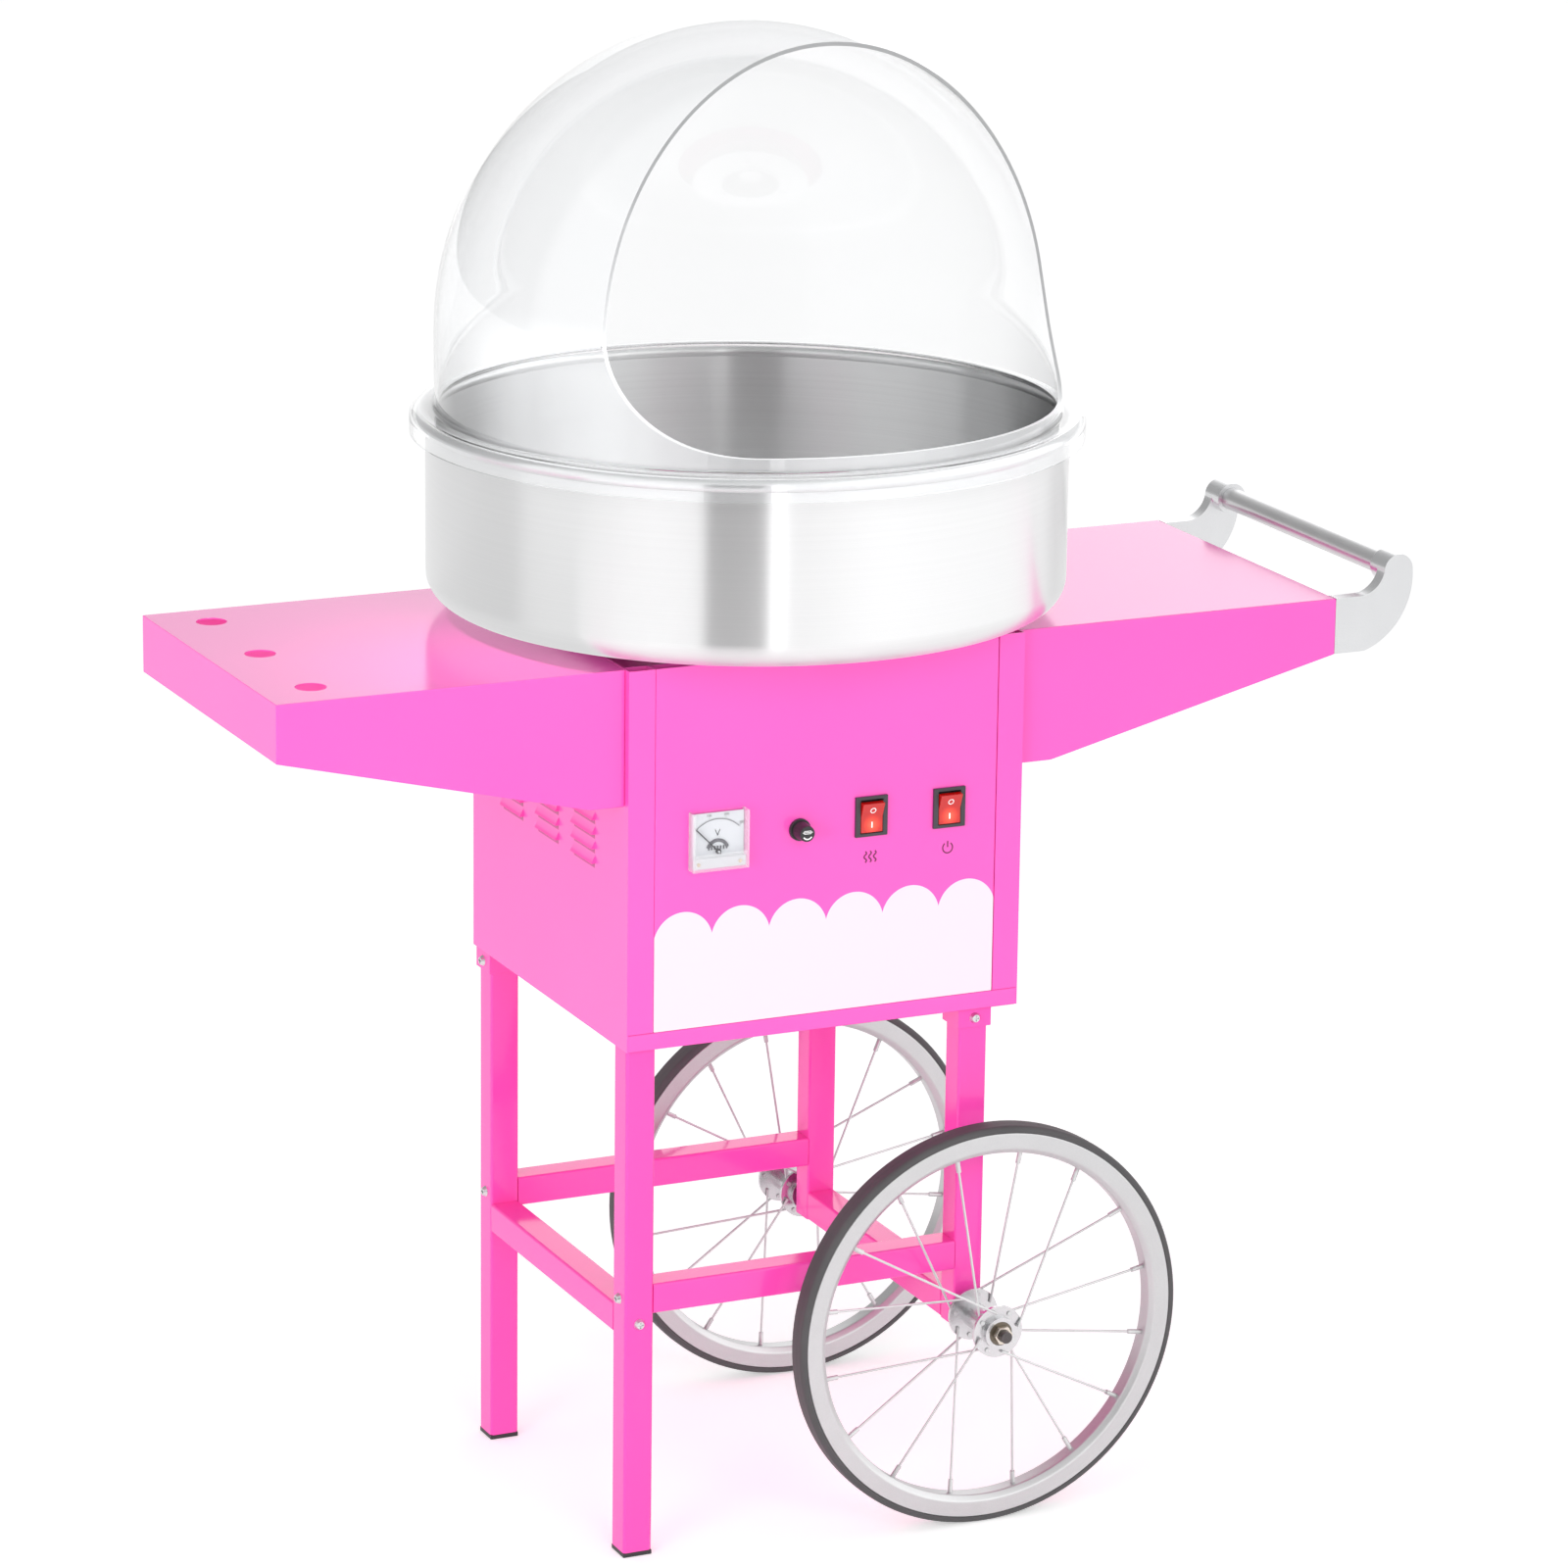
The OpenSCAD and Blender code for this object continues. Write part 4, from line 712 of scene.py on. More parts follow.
COAT = pink_paint()
SHADED_FRAME_COAT = shaded_frame_paint()
PRINTED_COAT = panel_paint()
BOWL_STEEL = brushed_bowl()
ACRYLIC = clear_acrylic()
MILKY_CASE = milky_case()
ZINC = plated("zinc_plate", (0.55, 0.55, 0.56, 1), (0.80, 0.80, 0.81, 1), 0.24)
BEARING_STEEL = plated("bearing_steel", (0.10, 0.088, 0.072, 1), (0.24, 0.21, 0.17, 1), 0.30)
AXLE_STEEL = plated("axle_steel", (0.055, 0.050, 0.052, 1), (0.17, 0.155, 0.155, 1), 0.32)
NUT_NICKEL = plated("nut_nickel", (0.56, 0.50, 0.42, 1), (0.80, 0.74, 0.66, 1), 0.20)
BRASS = plated("ring_brass", (0.62, 0.44, 0.17, 1), (0.82, 0.62, 0.28, 1), 0.22)
RIM_ALLOY = plated("satin_rim_alloy", (0.52, 0.525, 0.53, 1), (0.64, 0.64, 0.645, 1), 0.36)
HUB_ALLOY = plated("polished_hub_alloy", (0.54, 0.54, 0.55, 1), (0.72, 0.72, 0.73, 1), 0.20)
SPOKE_STEEL = plated("spoke_wire", (0.58, 0.59, 0.59, 1), (0.74, 0.75, 0.75, 1), 0.5)
BRACKET_CHROME = plated(
    "bracket_plate", (0.62, 0.625, 0.635, 1), (0.72, 0.725, 0.735, 1), 0.20, depth=0.000003
)
TUBE_STEEL = plated(
    "brushed_handle_steel", (0.52, 0.52, 0.525, 1), (0.68, 0.68, 0.685, 1), 0.26,
    grain=2200, stretch=(1, 0.02, 1),
)
HEAD_ALLOY = turned_alloy()
RUBBER = moulded("tyre_rubber", (0.050, 0.048, 0.050, 1), (0.078, 0.075, 0.078, 1), 0.55)
SOFT_RUBBER = moulded("buffer_rubber", (0.012, 0.012, 0.012, 1), (0.025, 0.025, 0.025, 1), 0.6)
BLACK = moulded("black_moulding", (0.012, 0.012, 0.013, 1), (0.028, 0.027, 0.030, 1), 0.38)
BEZEL_GREY = moulded("bezel_moulding", (0.030, 0.026, 0.032, 1), (0.050, 0.045, 0.055, 1), 0.42)
ENAMEL = moulded("motor_enamel", (0.014, 0.014, 0.015, 1), (0.025, 0.025, 0.027, 1), 0.3, grain=500)
CARBON = moulded("pressed_carbon", (0.02, 0.02, 0.02, 1), (0.05, 0.05, 0.05, 1), 0.5, grain=3000)
WHITE = moulded("white_moulding", (0.80, 0.80, 0.79, 1), (0.88, 0.88, 0.87, 1), 0.4)
DIAL_CARD = moulded(
    "dial_card", (0.58, 0.61, 0.64, 1), (0.68, 0.70, 0.73, 1), 0.5, grain=2500, depth=0.000005
)
INK = moulded("black_ink", (0.012, 0.012, 0.015, 1), (0.03, 0.03, 0.035, 1), 0.5)
GREY_INK = moulded("grey_ink", (0.07, 0.07, 0.08, 1), (0.13, 0.13, 0.15, 1), 0.5)
PLUM_INK = moulded("plum_ink", (0.12, 0.010, 0.075, 1), (0.17, 0.015, 0.10, 1), 0.35)
WHITE_INK = moulded("white_ink", (0.85, 0.85, 0.85, 1), (0.93, 0.93, 0.93, 1), 0.4)
LIT_MARK = glowing_mark()


# Under-frame

UPRIGHT, ALONG_X, ALONG_Y = (2,), (0,), (1,)
for name in ("front_left_leg", "rear_left_leg", "front_right_leg", "rear_right_leg"):
    softened(name, SHADED_FRAME_COAT, SHEET_EDGE, fold_ways=UPRIGHT, fold_r=TUBE_CORNER)
for name in ("front_rail", "rear_rail"):
    softened(name, SHADED_FRAME_COAT, SHEET_EDGE, fold_ways=ALONG_X, fold_r=TUBE_CORNER)
for name in ("left_cross_rail", "axle_beam"):
    softened(name, SHADED_FRAME_COAT, SHEET_EDGE, fold_ways=ALONG_Y, fold_r=TUBE_CORNER)
softened("leg_sockets", SHADED_FRAME_COAT, SHEET_EDGE)
softened("leg_end_caps", BLACK, MOULDED_EDGE)
softened("frame_screws", ZINC, SCREW_EDGE)


# Wheels

TYRE_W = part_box("front_tyre")[1].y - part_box("front_tyre")[0].y
WHEEL_R = (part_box("front_tyre")[1].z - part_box("front_tyre")[0].z) / 2
RIM_R = (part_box("front_rim")[1].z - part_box("front_rim")[0].z) / 2
RIM_SIDE = 0.0135
RIM_DEPTH = 0.018
RIM_FOLD = 0.004
TYRE_ROUND = 0.004
MOULD_LINE = 0.0006


def on_axle(node):
    """The place of a wheel piece that was turned about Z."""
    return Matrix.Translation(middle(node)) @ Matrix.Rotation(math.pi / 2, 4, "X")


def wheel_tyre(node):
    """Solid tyre with round shoulders and a fine mould line round its middle."""
    half = TYRE_W / 2
    round_at = WHEEL_R - TYRE_ROUND
    profile = [(RIM_R, -half), *arc((round_at, -half + TYRE_ROUND), TYRE_ROUND, -90, 0, 7)]
    profile += [(WHEEL_R, -MOULD_LINE), (WHEEL_R + MOULD_LINE / 3, 0), (WHEEL_R, MOULD_LINE)]
    profile += [*arc((round_at, half - TYRE_ROUND), TYRE_ROUND, 0, 90, 7), (RIM_R, half)]
    tyre = placed(turned(node + "_finished", profile, WHEEL_STEPS), on_axle(node))
    return stand_in(tyre, RUBBER, node)


def wheel_rim(node):
    """Pressed rim: flat sides, and an inner face that folds in to a narrower hoop."""
    half = TYRE_W / 2
    inner = RIM_R - RIM_DEPTH
    profile = [
        (RIM_R, -half), (RIM_R - RIM_SIDE, -half), (inner, -half + RIM_FOLD),
        (inner, half - RIM_FOLD), (RIM_R - RIM_SIDE, half), (RIM_R, half),
    ]
    rim = turned(node + "_finished", profile, WHEEL_STEPS)
    round_off(rim, RIM_EDGE, 3)
    return stand_in(placed(rim, on_axle(node)), RIM_ALLOY, node)


for end in ("front", "rear"):
    wheel_tyre(end + "_tyre")
    wheel_rim(end + "_rim")
    softened(end + "_spokes", SPOKE_STEEL)
    softened(end + "_hub", HUB_ALLOY, TURNED_EDGE)
    softened(end + "_bearings", BEARING_STEEL, TURNED_EDGE)
softened("axle", AXLE_STEEL, MOULDED_EDGE)
softened("axle_nuts", NUT_NICKEL, TURNED_EDGE)


# Cabinet, shelves and handle

softened("cabinet_shell", shell_paint(), SHEET_EDGE, fold_ways=UPRIGHT)
softened("cabinet_floor", COAT, SHEET_EDGE, fold_ways=ALONG_X)
softened("control_panel", PRINTED_COAT, SHEET_EDGE, fold_ways=UPRIGHT)
softened("top_plate", COAT, SHEET_EDGE)
softened("cabinet_screws", ZINC, SCREW_EDGE)
softened("cable_gland", BLACK, MOULDED_EDGE)
softened("terminal_block", WHITE, MOULDED_EDGE)
for name in ("left_shelf", "right_shelf"):
    softened(name, COAT, SHEET_EDGE, fold_ways=ALONG_X + ALONG_Y + UPRIGHT)
softened("shelf_bolts", ZINC, SCREW_EDGE)
for name in ("front_handle_bracket", "rear_handle_bracket"):
    softened(name, BRACKET_CHROME, CAST_EDGE, 3)
softened("handle_tube", TUBE_STEEL, SCREW_EDGE)
softened("handle_screws", ZINC, SCREW_EDGE)


# Drive and head

softened("rubber_buffers", SOFT_RUBBER, BUFFER_EDGE)
softened("motor_bracket", ZINC, MOULDED_EDGE)
softened("motor_casing", ENAMEL, MOTOR_EDGE)
softened("motor_shaft", ZINC, MOULDED_EDGE)
softened("slip_rings", BRASS, TURNED_EDGE)
softened("brush_holder", BLACK, MOULDED_EDGE)
softened("carbon_brushes", CARBON, SCREW_EDGE)
softened("head_base", HEAD_ALLOY, MOULDED_EDGE)
softened("heater_ring", BRASS)
softened("head_screen", HEAD_ALLOY, SCREEN_EDGE)
softened("head_cap", HEAD_ALLOY, MOULDED_EDGE)


# Bowl and dome


def spun_bowl():
    """Bowl spun from one sheet: an upstand round the hole, a floor, a wall and a rolled rim."""
    bead_at = (BOWL_HIGH.x - BOWL_LOW.x) / 2 - BEAD_R - BOWL_T / 2
    wall_r = bead_at - BEAD_OUT - BOWL_T / 2
    low = BOWL_LOW.z + BOWL_T / 2
    bead_z = BOWL_HIGH.z - BEAD_R - BOWL_T / 2
    roll = math.degrees(math.acos((wall_r - bead_at) / BEAD_R))
    fillet_at = (COLLAR_R + COLLAR_FILLET, low + COLLAR_FILLET)
    path = [(COLLAR_R, low + COLLAR_H), *arc(fillet_at, COLLAR_FILLET, 180, 270, 5)]
    path += [(COLLAR_R + (wall_r - COLLAR_R) * i / 8, low) for i in range(1, 8)]
    path += arc((wall_r - BOWL_CORNER_R, low + BOWL_CORNER_R), BOWL_CORNER_R, -90, 0, 13)
    path += [(wall_r, low + BOWL_CORNER_R + WALL_STEP * i) for i in range(1, 5)]
    path += arc((bead_at, bead_z), BEAD_R, 360 - roll, -80, 25)
    bowl = turned("bowl_finished", path, BOWL_STEPS, closed=False)
    shape(bowl, "SOLIDIFY", thickness=BOWL_T, offset=0)
    return stand_in(placed(bowl, Matrix.Translation(SPINDLE)), BOWL_STEEL, "bowl")


def mouth_cutter():
    """A block with the mouth's side view: in front of a leaning plane, above a round-cornered sill."""
    far = 0.5
    outline = arc(mouth_centre(), MOUTH_CORNER_R, -90, -math.degrees(MOUTH_LEAN), 33)
    outline += [(-MOUTH_Y + far * LEAN_BACK, DOME_Z + far * LEAN_UP)]
    outline += [(-far, DOME_Z + far), (-far, MOUTH_SILL_Z)]
    put_down()
    bpy.ops.mesh.primitive_circle_add(vertices=len(outline), radius=1, fill_type="NGON")
    cutter = bpy.context.object
    for corner, (y, z) in zip(cutter.data.vertices, outline):
        corner.co = (-far, y, z)
    open_mesh(cutter)
    bpy.ops.mesh.extrude_region_move(TRANSFORM_OT_translate={"value": (2 * far, 0, 0)})
    bpy.ops.mesh.select_all(action="SELECT")
    bpy.ops.mesh.normals_make_consistent(inside=False)
    return placed(cutter, Matrix.Translation(SPINDLE) @ Matrix.Rotation(MOUTH_TURN, 4, "Z"))


def formed_dome():
    """Clear dome formed in one piece with its rim ring, and the mouth cut out of it."""
    ring_r = (DOME_HIGH.x - DOME_LOW.x) / 2 - DOME_T / 2
    wall_r = ring_r - RING_WIDTH
    flat_z = BOWL_HIGH.z + RING_GAP + DOME_T / 2
    path = arc((0, DOME_Z), wall_r, 90, 0, 49)
    path += [(wall_r, DOME_Z - (DOME_Z - flat_z - RING_FILLET) * i / 6) for i in range(1, 6)]
    path += arc((wall_r + RING_FILLET, flat_z + RING_FILLET), RING_FILLET, 180, 270, 7)
    path += arc((ring_r - RING_ROUND, flat_z - RING_ROUND), RING_ROUND, 90, 0, 9)
    path += [(ring_r, DOME_LOW.z)]
    dome = turned("dome_finished", path, BOWL_STEPS, closed=False)
    shape(dome, "SOLIDIFY", thickness=DOME_T, offset=0, use_even_offset=True)
    placed(dome, Matrix.Translation(SPINDLE))
    cutter = mouth_cutter()
    shape(dome, "BOOLEAN", object=cutter, operation="DIFFERENCE", solver="EXACT")
    bpy.data.objects.remove(cutter)
    return stand_in(dome, ACRYLIC, "dome")


spun_bowl()
formed_dome()


# Controls

PANEL_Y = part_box("control_panel")[0].y
METER = middle("meter_case")
METER_LOW, METER_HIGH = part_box("meter_case")
DIAL_OUT = 0.002
PIVOT_DROP = 0.0095

# The dial's scale
SCALE_R = 0.0262
SCALE_SWING = 45
SCALE_NUMBERS = ("0", "100", "200", "300")
SCALE_LINE = 0.00042
TICKS_BETWEEN = 10
TICK_LINE = 0.0003
LONG_TICK = 0.0024
SHORT_TICK = 0.0012
NUMBER_OUT = 0.0042
NUMBER_H = 0.0021
NUMBER_INSET = 0.97
UNIT_H = 0.0056
UNIT_UP = 0.0050

# The movement's arch, and the ribs of the coil below it
YOKE_R = 0.0088
YOKE_SWING = 72
YOKE_W = 0.0028
YOKE_T = 0.0008
RIB_PITCH = 0.0026
RIB_UP = 0.0012
RIB_H = 0.0030
RIB_W = 0.0011
RIB_T = 0.0007

# The screws in the meter's lower corners
CORNER_SCREW = ((0, 0), (0.0016, 0), (0.0016, 0.0004), (0.0011, 0.0008), (0, 0.0009))
CORNER_SCREW_OUT = 0.004
CORNER_SCREW_UP = 0.0055
CORNER_SCREW_SIDE = 0.018


def on_panel(at, out=0.0, up=0.0, side=0.0):
    """A place on the panel's front, with X to the right, Y up and Z out of the panel."""
    spot = Matrix.Translation((at.x, PANEL_Y, at.z)) @ Matrix.Rotation(math.pi / 2, 4, "X")
    return spot @ Matrix.Translation((side, up, out))


def on_dial(turn, radius):
    """A point of the dial at a turn from upright, in degrees, about the needle's pivot."""
    t = math.radians(turn)
    return Vector((radius * math.sin(t), radius * math.cos(t) - PIVOT_DROP))


def scale_turns(count):
    """So many turns from upright, in degrees, evenly over the dial's scale."""
    return [-SCALE_SWING + 2 * SCALE_SWING * i / (count - 1) for i in range(count)]


def dial_print():
    """The dial's arc, ticks, numbers and unit."""
    marks = [strip([on_dial(turn, SCALE_R) for turn in scale_turns(41)], SCALE_LINE)]
    ticks = scale_turns(TICKS_BETWEEN * (len(SCALE_NUMBERS) - 1) + 1)
    for i, turn in enumerate(ticks):
        reach = LONG_TICK if i % TICKS_BETWEEN == 0 else SHORT_TICK
        marks.append(strip([on_dial(turn, SCALE_R), on_dial(turn, SCALE_R + reach)], TICK_LINE))
    for turn, word in zip(scale_turns(len(SCALE_NUMBERS)), SCALE_NUMBERS):
        spot = on_dial(turn, SCALE_R + NUMBER_OUT)
        number = lettered(word, NUMBER_H)
        marks.append(placed(number, Matrix.Translation((spot.x * NUMBER_INSET, spot.y, 0))))
    marks.append(placed(lettered("V", UNIT_H), Matrix.Translation((0, UNIT_UP, 0))))
    scale = placed(joined("dial_print", marks), on_panel(METER, DIAL_OUT))
    return dress(scale, INK, "cart")


def meter_yoke():
    """The dark arch of the movement round the pivot, and the ribbed coil below it."""
    arch = [on_dial(turn, YOKE_R) for turn in range(-YOKE_SWING, YOKE_SWING + 1, 6)]
    parts = [strip(arch, YOKE_W, YOKE_T)]
    for i in range(-3, 4):
        foot = Vector((i * RIB_PITCH, RIB_UP - PIVOT_DROP))
        parts.append(strip([foot, foot + Vector((0, RIB_H))], RIB_W, RIB_T))
    yoke = placed(joined("meter_yoke", parts), on_panel(METER, DIAL_OUT))
    return dress(yoke, GREY_INK, "cart")


def corner_screw(name, side):
    """A small round-headed screw in a lower corner of the meter."""
    screw = turned(name, CORNER_SCREW, 24)
    up = CORNER_SCREW_UP - (METER_HIGH.z - METER_LOW.z) / 2
    place = on_panel(METER, DIAL_OUT + CORNER_SCREW_OUT, up, side)
    return dress(placed(screw, place), BRASS, "cart")


softened("meter_case", MILKY_CASE, CASE_EDGE, 3)
softened("meter_movement", DIAL_CARD, SCREW_EDGE)
softened("meter_needle", INK)
dial_print()
meter_yoke()
corner_screw("meter_left_screw", -CORNER_SCREW_SIDE)
corner_screw("meter_right_screw", CORNER_SCREW_SIDE)

softened("fuse_holder", BLACK, MOULDED_EDGE)
softened("fuse_cap", BLACK, MOULDED_EDGE, 3)
softened("fuse", fuse_skin(), SCREW_EDGE)

FUSE = middle("fuse_cap")
FUSE_TIP = PANEL_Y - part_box("fuse_cap")[0].y

# The cap's sign: a box with a wire through it, over a turning arc
FUSE_BOX_HALF = 0.0030
FUSE_BOX_LOW, FUSE_BOX_HIGH = 0.0003, 0.0025
FUSE_WIRE_HALF = 0.0044
FUSE_WIRE_UP = 0.0014
FUSE_LINE = 0.0005
TURN_ARC_R = 0.0042
TURN_ARC_LINE = 0.0010


def fuse_marks():
    """A fuse sign over a turning arc, on the cap's end."""
    box = [
        (-FUSE_BOX_HALF, FUSE_BOX_LOW), (FUSE_BOX_HALF, FUSE_BOX_LOW),
        (FUSE_BOX_HALF, FUSE_BOX_HIGH), (-FUSE_BOX_HALF, FUSE_BOX_HIGH),
        (-FUSE_BOX_HALF, FUSE_BOX_LOW),
    ]
    lines = [strip(box[i:i + 2], FUSE_LINE) for i in range(len(box) - 1)]
    lines.append(strip([(-FUSE_WIRE_HALF, FUSE_WIRE_UP), (FUSE_WIRE_HALF, FUSE_WIRE_UP)], FUSE_LINE))
    lines.append(strip(arc((0, 0), TURN_ARC_R, 215, 325, 17), TURN_ARC_LINE))
    marks = placed(joined("fuse_cap_marks", lines), on_panel(FUSE, FUSE_TIP))
    return dress(marks, WHITE_INK, "fuse_cap")


fuse_marks()

# A rocker at rest: its tilt, and its two faces, which rise towards its ends
ROCK_TILT = math.radians(10)
FACE_RUN = 0.0125
FACE_RISE = 0.0024
FACE_TILT = math.atan2(FACE_RISE, FACE_RUN)
FACE_UP = FACE_RUN / 2
FACE_OUT = 0.0038
RING_MARK_R = 0.0022
RING_MARK_LINE = 0.0007
BAR_MARK_HALF = 0.0024
BAR_MARK_LINE = 0.0009


def on_rocker(switch, upper):
    """A place on the middle of the rocker's upper or lower face."""
    way = 1 if upper else -1
    spot = on_panel(middle(switch)) @ Matrix.Rotation(ROCK_TILT, 4, "X")
    face = Matrix.Translation((0, way * FACE_UP, FACE_OUT))
    return spot @ face @ Matrix.Rotation(way * FACE_TILT, 4, "X")


def switch_marks(kind):
    """The ring at the rocker's top and the bar at its foot."""
    rocker = kind + "_rocker"
    ring = strip(arc((0, 0), RING_MARK_R, 0, 360, 33), RING_MARK_LINE)
    ring.name = kind + "_ring_mark"
    placed(ring, on_rocker(kind + "_switch", True))
    dress(ring, WHITE_INK, rocker)
    bar = strip([(0, -BAR_MARK_HALF), (0, BAR_MARK_HALF)], BAR_MARK_LINE)
    bar.name = kind + "_bar_mark"
    placed(bar, on_rocker(kind + "_switch", False))
    dress(bar, LIT_MARK, rocker)


# The signs printed under the switches
SIGN_DROP = 0.034
WAVE_PITCH = 0.0042
WAVE_SWING = 0.0011
WAVE_H = 0.0092
WAVE_CYCLES = 1.5
WAVE_STEPS = 24
WAVE_LINE = 0.0013
POWER_R = 0.0044
POWER_BAR = (0.0004, 0.0056)
POWER_LINE = 0.0012


def wave(middle_x):
    """The path of one rising wave."""
    shares = [i / WAVE_STEPS for i in range(WAVE_STEPS + 1)]
    swings = [WAVE_SWING * math.sin(FULL_TURN * WAVE_CYCLES * share) for share in shares]
    return [(middle_x + swing, WAVE_H * (share - 0.5)) for swing, share in zip(swings, shares)]


def heat_sign():
    """Three rising waves under the heat switch."""
    waves = [strip(wave(i * WAVE_PITCH), WAVE_LINE) for i in (-1, 0, 1)]
    sign = placed(joined("heat_sign", waves), on_panel(middle("heat_switch"), up=-SIGN_DROP))
    return dress(sign, PLUM_INK, "cart")


def power_sign():
    """An open ring and a bar under the power switch."""
    ring = strip(arc((0, 0), POWER_R, 125, 415, 41), POWER_LINE)
    bar = strip([(0, end) for end in POWER_BAR], POWER_LINE)
    sign = joined("power_sign", [ring, bar])
    placed(sign, on_panel(middle("power_switch"), up=-SIGN_DROP))
    return dress(sign, PLUM_INK, "cart")


for kind in ("heat", "power"):
    softened(kind + "_switch", BEZEL_GREY, MOULDED_EDGE)
    softened(kind + "_rocker", lit_red(kind + "_rocker"), ROCKER_EDGE, 3)
    switch_marks(kind)
heat_sign()
power_sign()


# Stage, light and camera

FLOOR_SIZE = 120
FLOOR_GLOW = 0.36
CARD_DISTANCE = 2.2
BACK_CARD_DISTANCE = 2.6
SHELF_CARD_GAP = 0.0015
SHELF_CARD_GLOW = 0.97
CART_MIDDLE = (0, 0, 0.65)
LIT_SHELF = (-0.25, -0.13, 0.745)
CAMERA_AT = Vector((-2.0878, -4.4890, 1.9516))
AZIMUTH = math.radians(-24.95)
ELEVATION = math.radians(15.36)
ROLL = math.radians(0.76)
LENS = 143.35
SENSOR_W = 36


def stage_floor():
    """A wide pale floor that glows a little, so that it meets the white sky."""
    put_down()
    bpy.ops.mesh.primitive_plane_add(size=FLOOR_SIZE)
    floor = bpy.context.object
    floor.name = "studio_floor"
    finish = Finish("pale_floor")
    grain = finish.noise(3, detail=2)
    floor.data.materials.append(finish.done(
        Base_Color=finish.blend(grain, (0.90, 0.90, 0.90, 1), (0.92, 0.92, 0.92, 1)),
        Roughness=0.9,
        Emission_Color=(1, 1, 1, 1),
        Emission_Strength=FLOOR_GLOW,
    ))


def reflected_only(card, finish, surface, through_dome):
    """Gives a card its surface and hides it from all but mirrored rays and, if asked, the dome's."""
    out = finish.tree.nodes.new("ShaderNodeOutputMaterial")
    finish.tree.links.new(surface.socket, out.inputs["Surface"])
    card.data.materials.append(finish.material)
    for sense in ("camera", "diffuse", "volume_scatter", "shadow"):
        setattr(card, "visible_" + sense, False)
    card.visible_transmission = through_dome


def glossy_card(name, middle_turn, half_turn, distance, low, high, shades, through_dome=True):
    """A card for reflections, standing at a turn from the camera's direction; the dome may show it too."""
    put_down()
    bpy.ops.mesh.primitive_plane_add(size=1)
    card = bpy.context.object
    card.name = name
    toward = AZIMUTH - math.pi / 2 + math.radians(middle_turn)
    width = 2 * distance * math.tan(math.radians(half_turn))
    card.scale = (width, high - low, 1)
    card.rotation_euler = (math.pi / 2, 0, toward + math.pi / 2)
    card.location = (
        SPINDLE.x + distance * math.cos(toward),
        SPINDLE.y + distance * math.sin(toward),
        (low + high) / 2,
    )
    finish = Finish(name)
    x, _, _ = finish.axes(finish.place)
    shade = finish.node("MapRange", {}, {0: x, 1: -0.5, 2: 0.5, 3: shades[0], 4: shades[1]})
    tint = finish.node("CombineColor", sockets={0: shade, 1: shade, 2: shade})
    glow = finish.node("Emission", {}, {"Color": tint, "Strength": 1.0})
    reflected_only(card, finish, glow, through_dome)


def shelf_card(shelf):
    """A pale card close over a shelf, there only for what mirrors the shelf from above."""
    low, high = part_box(shelf)
    put_down()
    bpy.ops.mesh.primitive_plane_add(size=1)
    card = bpy.context.object
    card.name = shelf + "_card"
    card.scale = (high.x - low.x, high.y - low.y, 1)
    card.location = ((low.x + high.x) / 2, (low.y + high.y) / 2, high.z + SHELF_CARD_GAP)
    finish = Finish(card.name)
    glow = finish.node("Emission", {}, {"Color": (1, 1, 1, 1), "Strength": SHELF_CARD_GLOW})
    clear = finish.node("BsdfTransparent")
    below = finish.node("NewGeometry", output="Backfacing")
    surface = finish.node("MixShader", {}, {0: below, 1: glow, 2: clear})
    reflected_only(card, finish, surface, through_dome=False)


def studio_sky():
    """White low down and dimmer overhead; in reflections white in front and dark behind."""
    world = bpy.data.worlds.new("studio_sky")
    bpy.context.scene.world = world
    world.use_nodes = True
    sky = Shader(world.node_tree)
    side, ahead, up = sky.axes(sky.node("TexCoord", output="Generated"))
    plain = up.ramp(0.25, 0.65, 1.05, 0.60)
    mirrored = ahead.ramp(0.28, 0.42, 1.15, 0.50) * up.ramp(0.62, 0.90, 1.0, 0.55)
    mirrored = mirrored * side.ramp(-0.2, 0.5, 1.0, 1.6)
    glossy = sky.node("LightPath", output="Is Glossy Ray")
    strength = mirrored * glossy + plain * (1 - glossy)
    light = sky.node("Background", {}, {"Color": (1, 1, 1, 1), "Strength": strength})
    out = world.node_tree.nodes.new("ShaderNodeOutputWorld")
    world.node_tree.links.new(light.socket, out.inputs["Surface"])


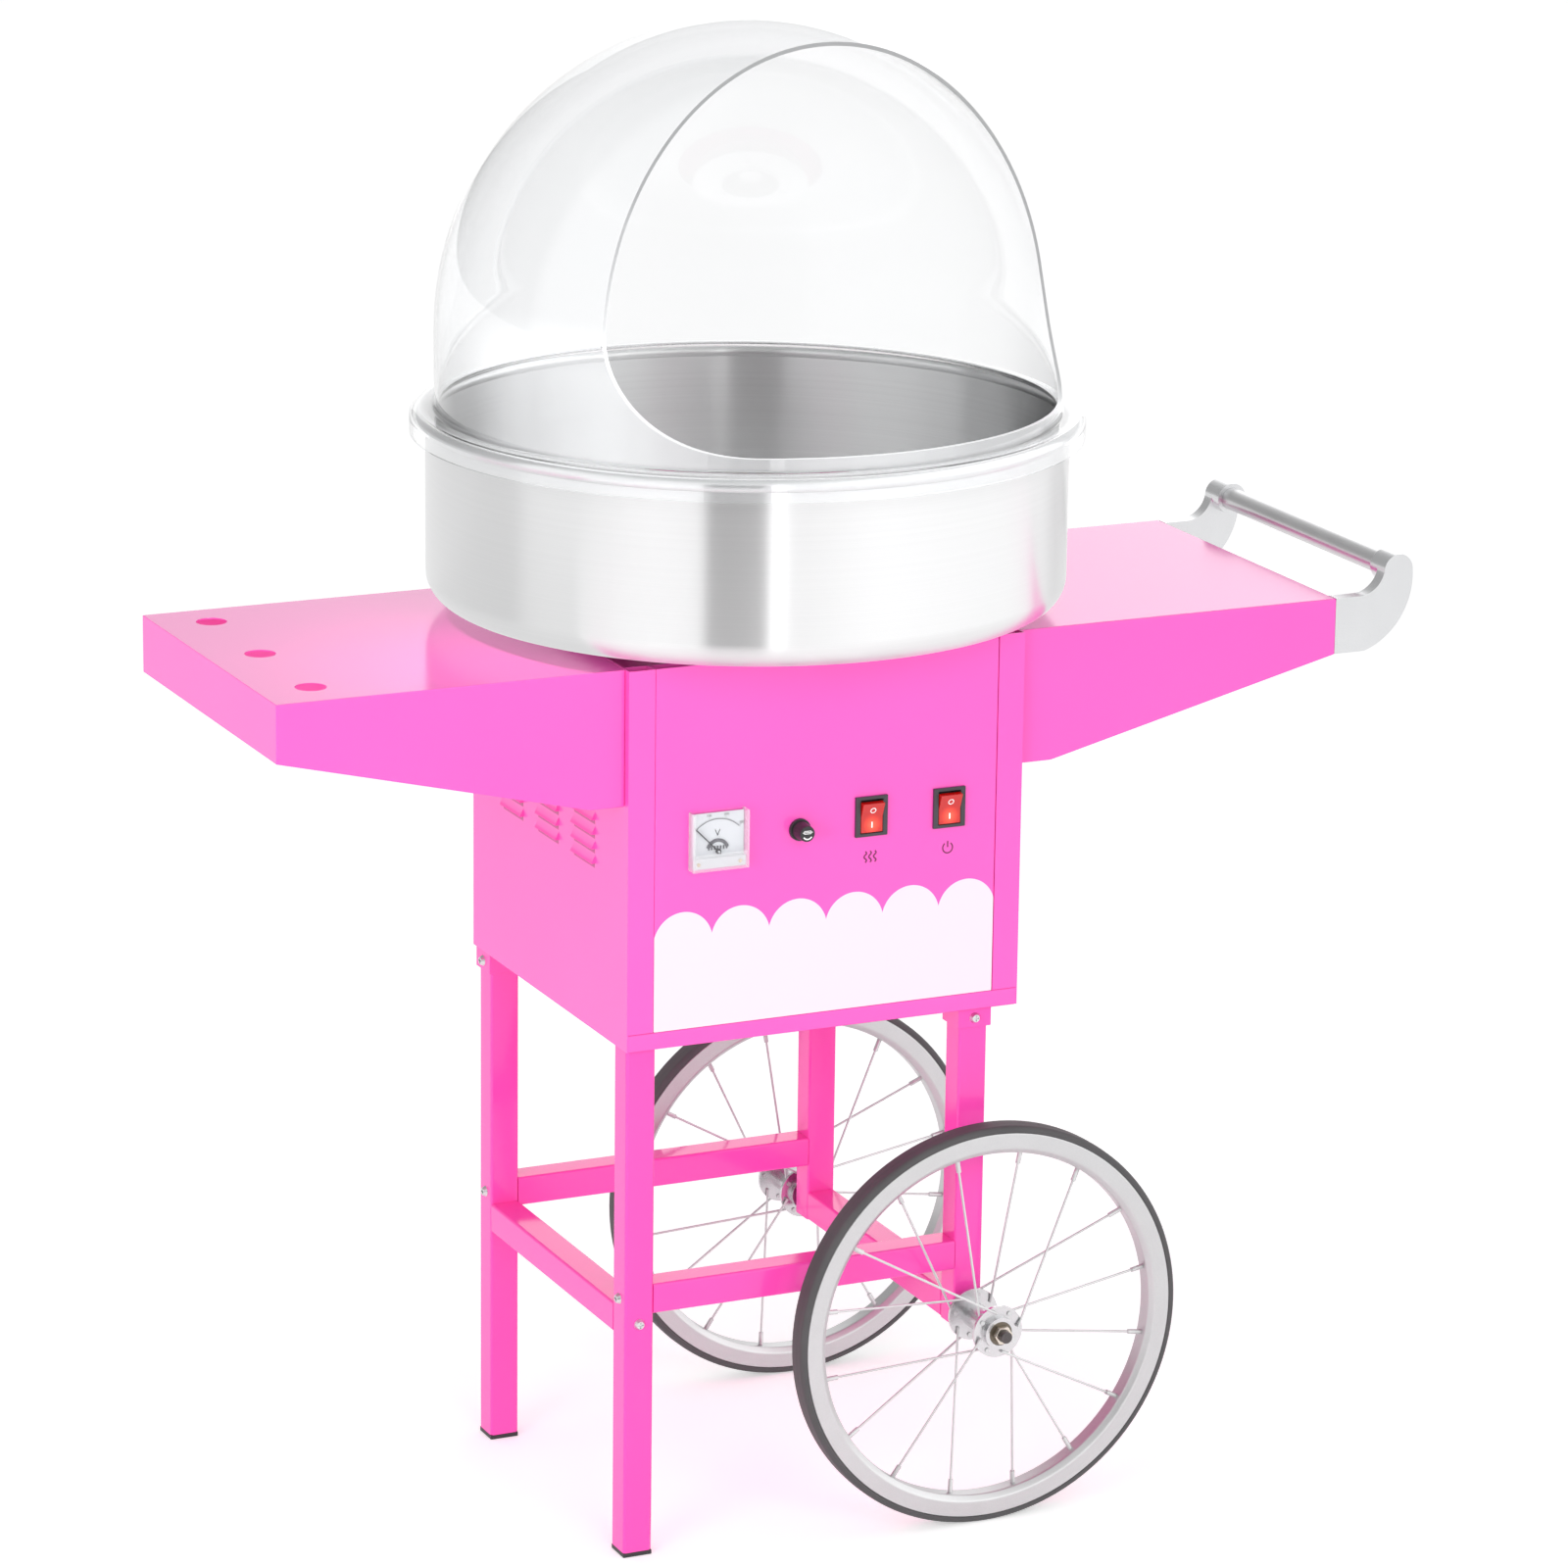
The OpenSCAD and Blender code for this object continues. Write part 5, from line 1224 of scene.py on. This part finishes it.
def soft_light(name, at, size, watts, aim_at=CART_MIDDLE, spread=180):
    """A round soft lamp that lights the cart and is not seen itself."""
    lamp = bpy.data.lights.new(name, "AREA")
    lamp.shape = "DISK"
    lamp.size = size
    lamp.energy = watts
    lamp.spread = math.radians(spread)
    holder = bpy.data.objects.new(name, lamp)
    bpy.context.scene.collection.objects.link(holder)
    holder.location = at
    aim = Vector(aim_at) - Vector(at)
    holder.rotation_euler = aim.to_track_quat("-Z", "Y").to_euler()
    holder.visible_glossy = False
    holder.visible_transmission = False
    holder.visible_camera = False


def photo_camera():
    """The photograph's camera: its place, its turn and a slight roll."""
    back = Vector((
        math.sin(AZIMUTH) * math.cos(ELEVATION),
        -math.cos(AZIMUTH) * math.cos(ELEVATION),
        math.sin(ELEVATION),
    ))
    level = Vector((math.cos(AZIMUTH), math.sin(AZIMUTH), 0))
    upright = back.cross(level)
    right = math.cos(ROLL) * level + math.sin(ROLL) * upright
    up = back.cross(right)
    lens = bpy.data.cameras.new("photo_camera")
    lens.lens = LENS
    lens.sensor_width = SENSOR_W
    lens.clip_end = 2 * FLOOR_SIZE
    camera = bpy.data.objects.new("photo_camera", lens)
    bpy.context.scene.collection.objects.link(camera)
    turn = Matrix((right, up, back)).transposed().to_4x4()
    camera.matrix_world = Matrix.Translation(CAMERA_AT) @ turn
    bpy.context.scene.camera = camera


stage_floor()
glossy_card("dark_gap", -2.5, 10.5, CARD_DISTANCE, 0.0, 1.75, (0.10, 0.26))
glossy_card("bright_gap", 10.6, 2.4, CARD_DISTANCE, 0.0, 1.9, (2.2, 2.2))
glossy_card("bright_back", 181.0, 21.0, BACK_CARD_DISTANCE, 0.75, 2.1, (2.3, 1.2), through_dome=False)
shelf_card("left_shelf")
shelf_card("right_shelf")
studio_sky()
soft_light("front_softbox", (-0.3, -3.7, 2.3), 2.0, 38)
soft_light("left_softbox", (-2.9, -1.9, 1.15), 1.6, 34)
soft_light("shelf_softbox", (-0.95, 0.30, 2.05), 0.2, 0.17, LIT_SHELF, spread=16)
photo_camera()
bpy.context.scene.view_settings.view_transform = "Standard"
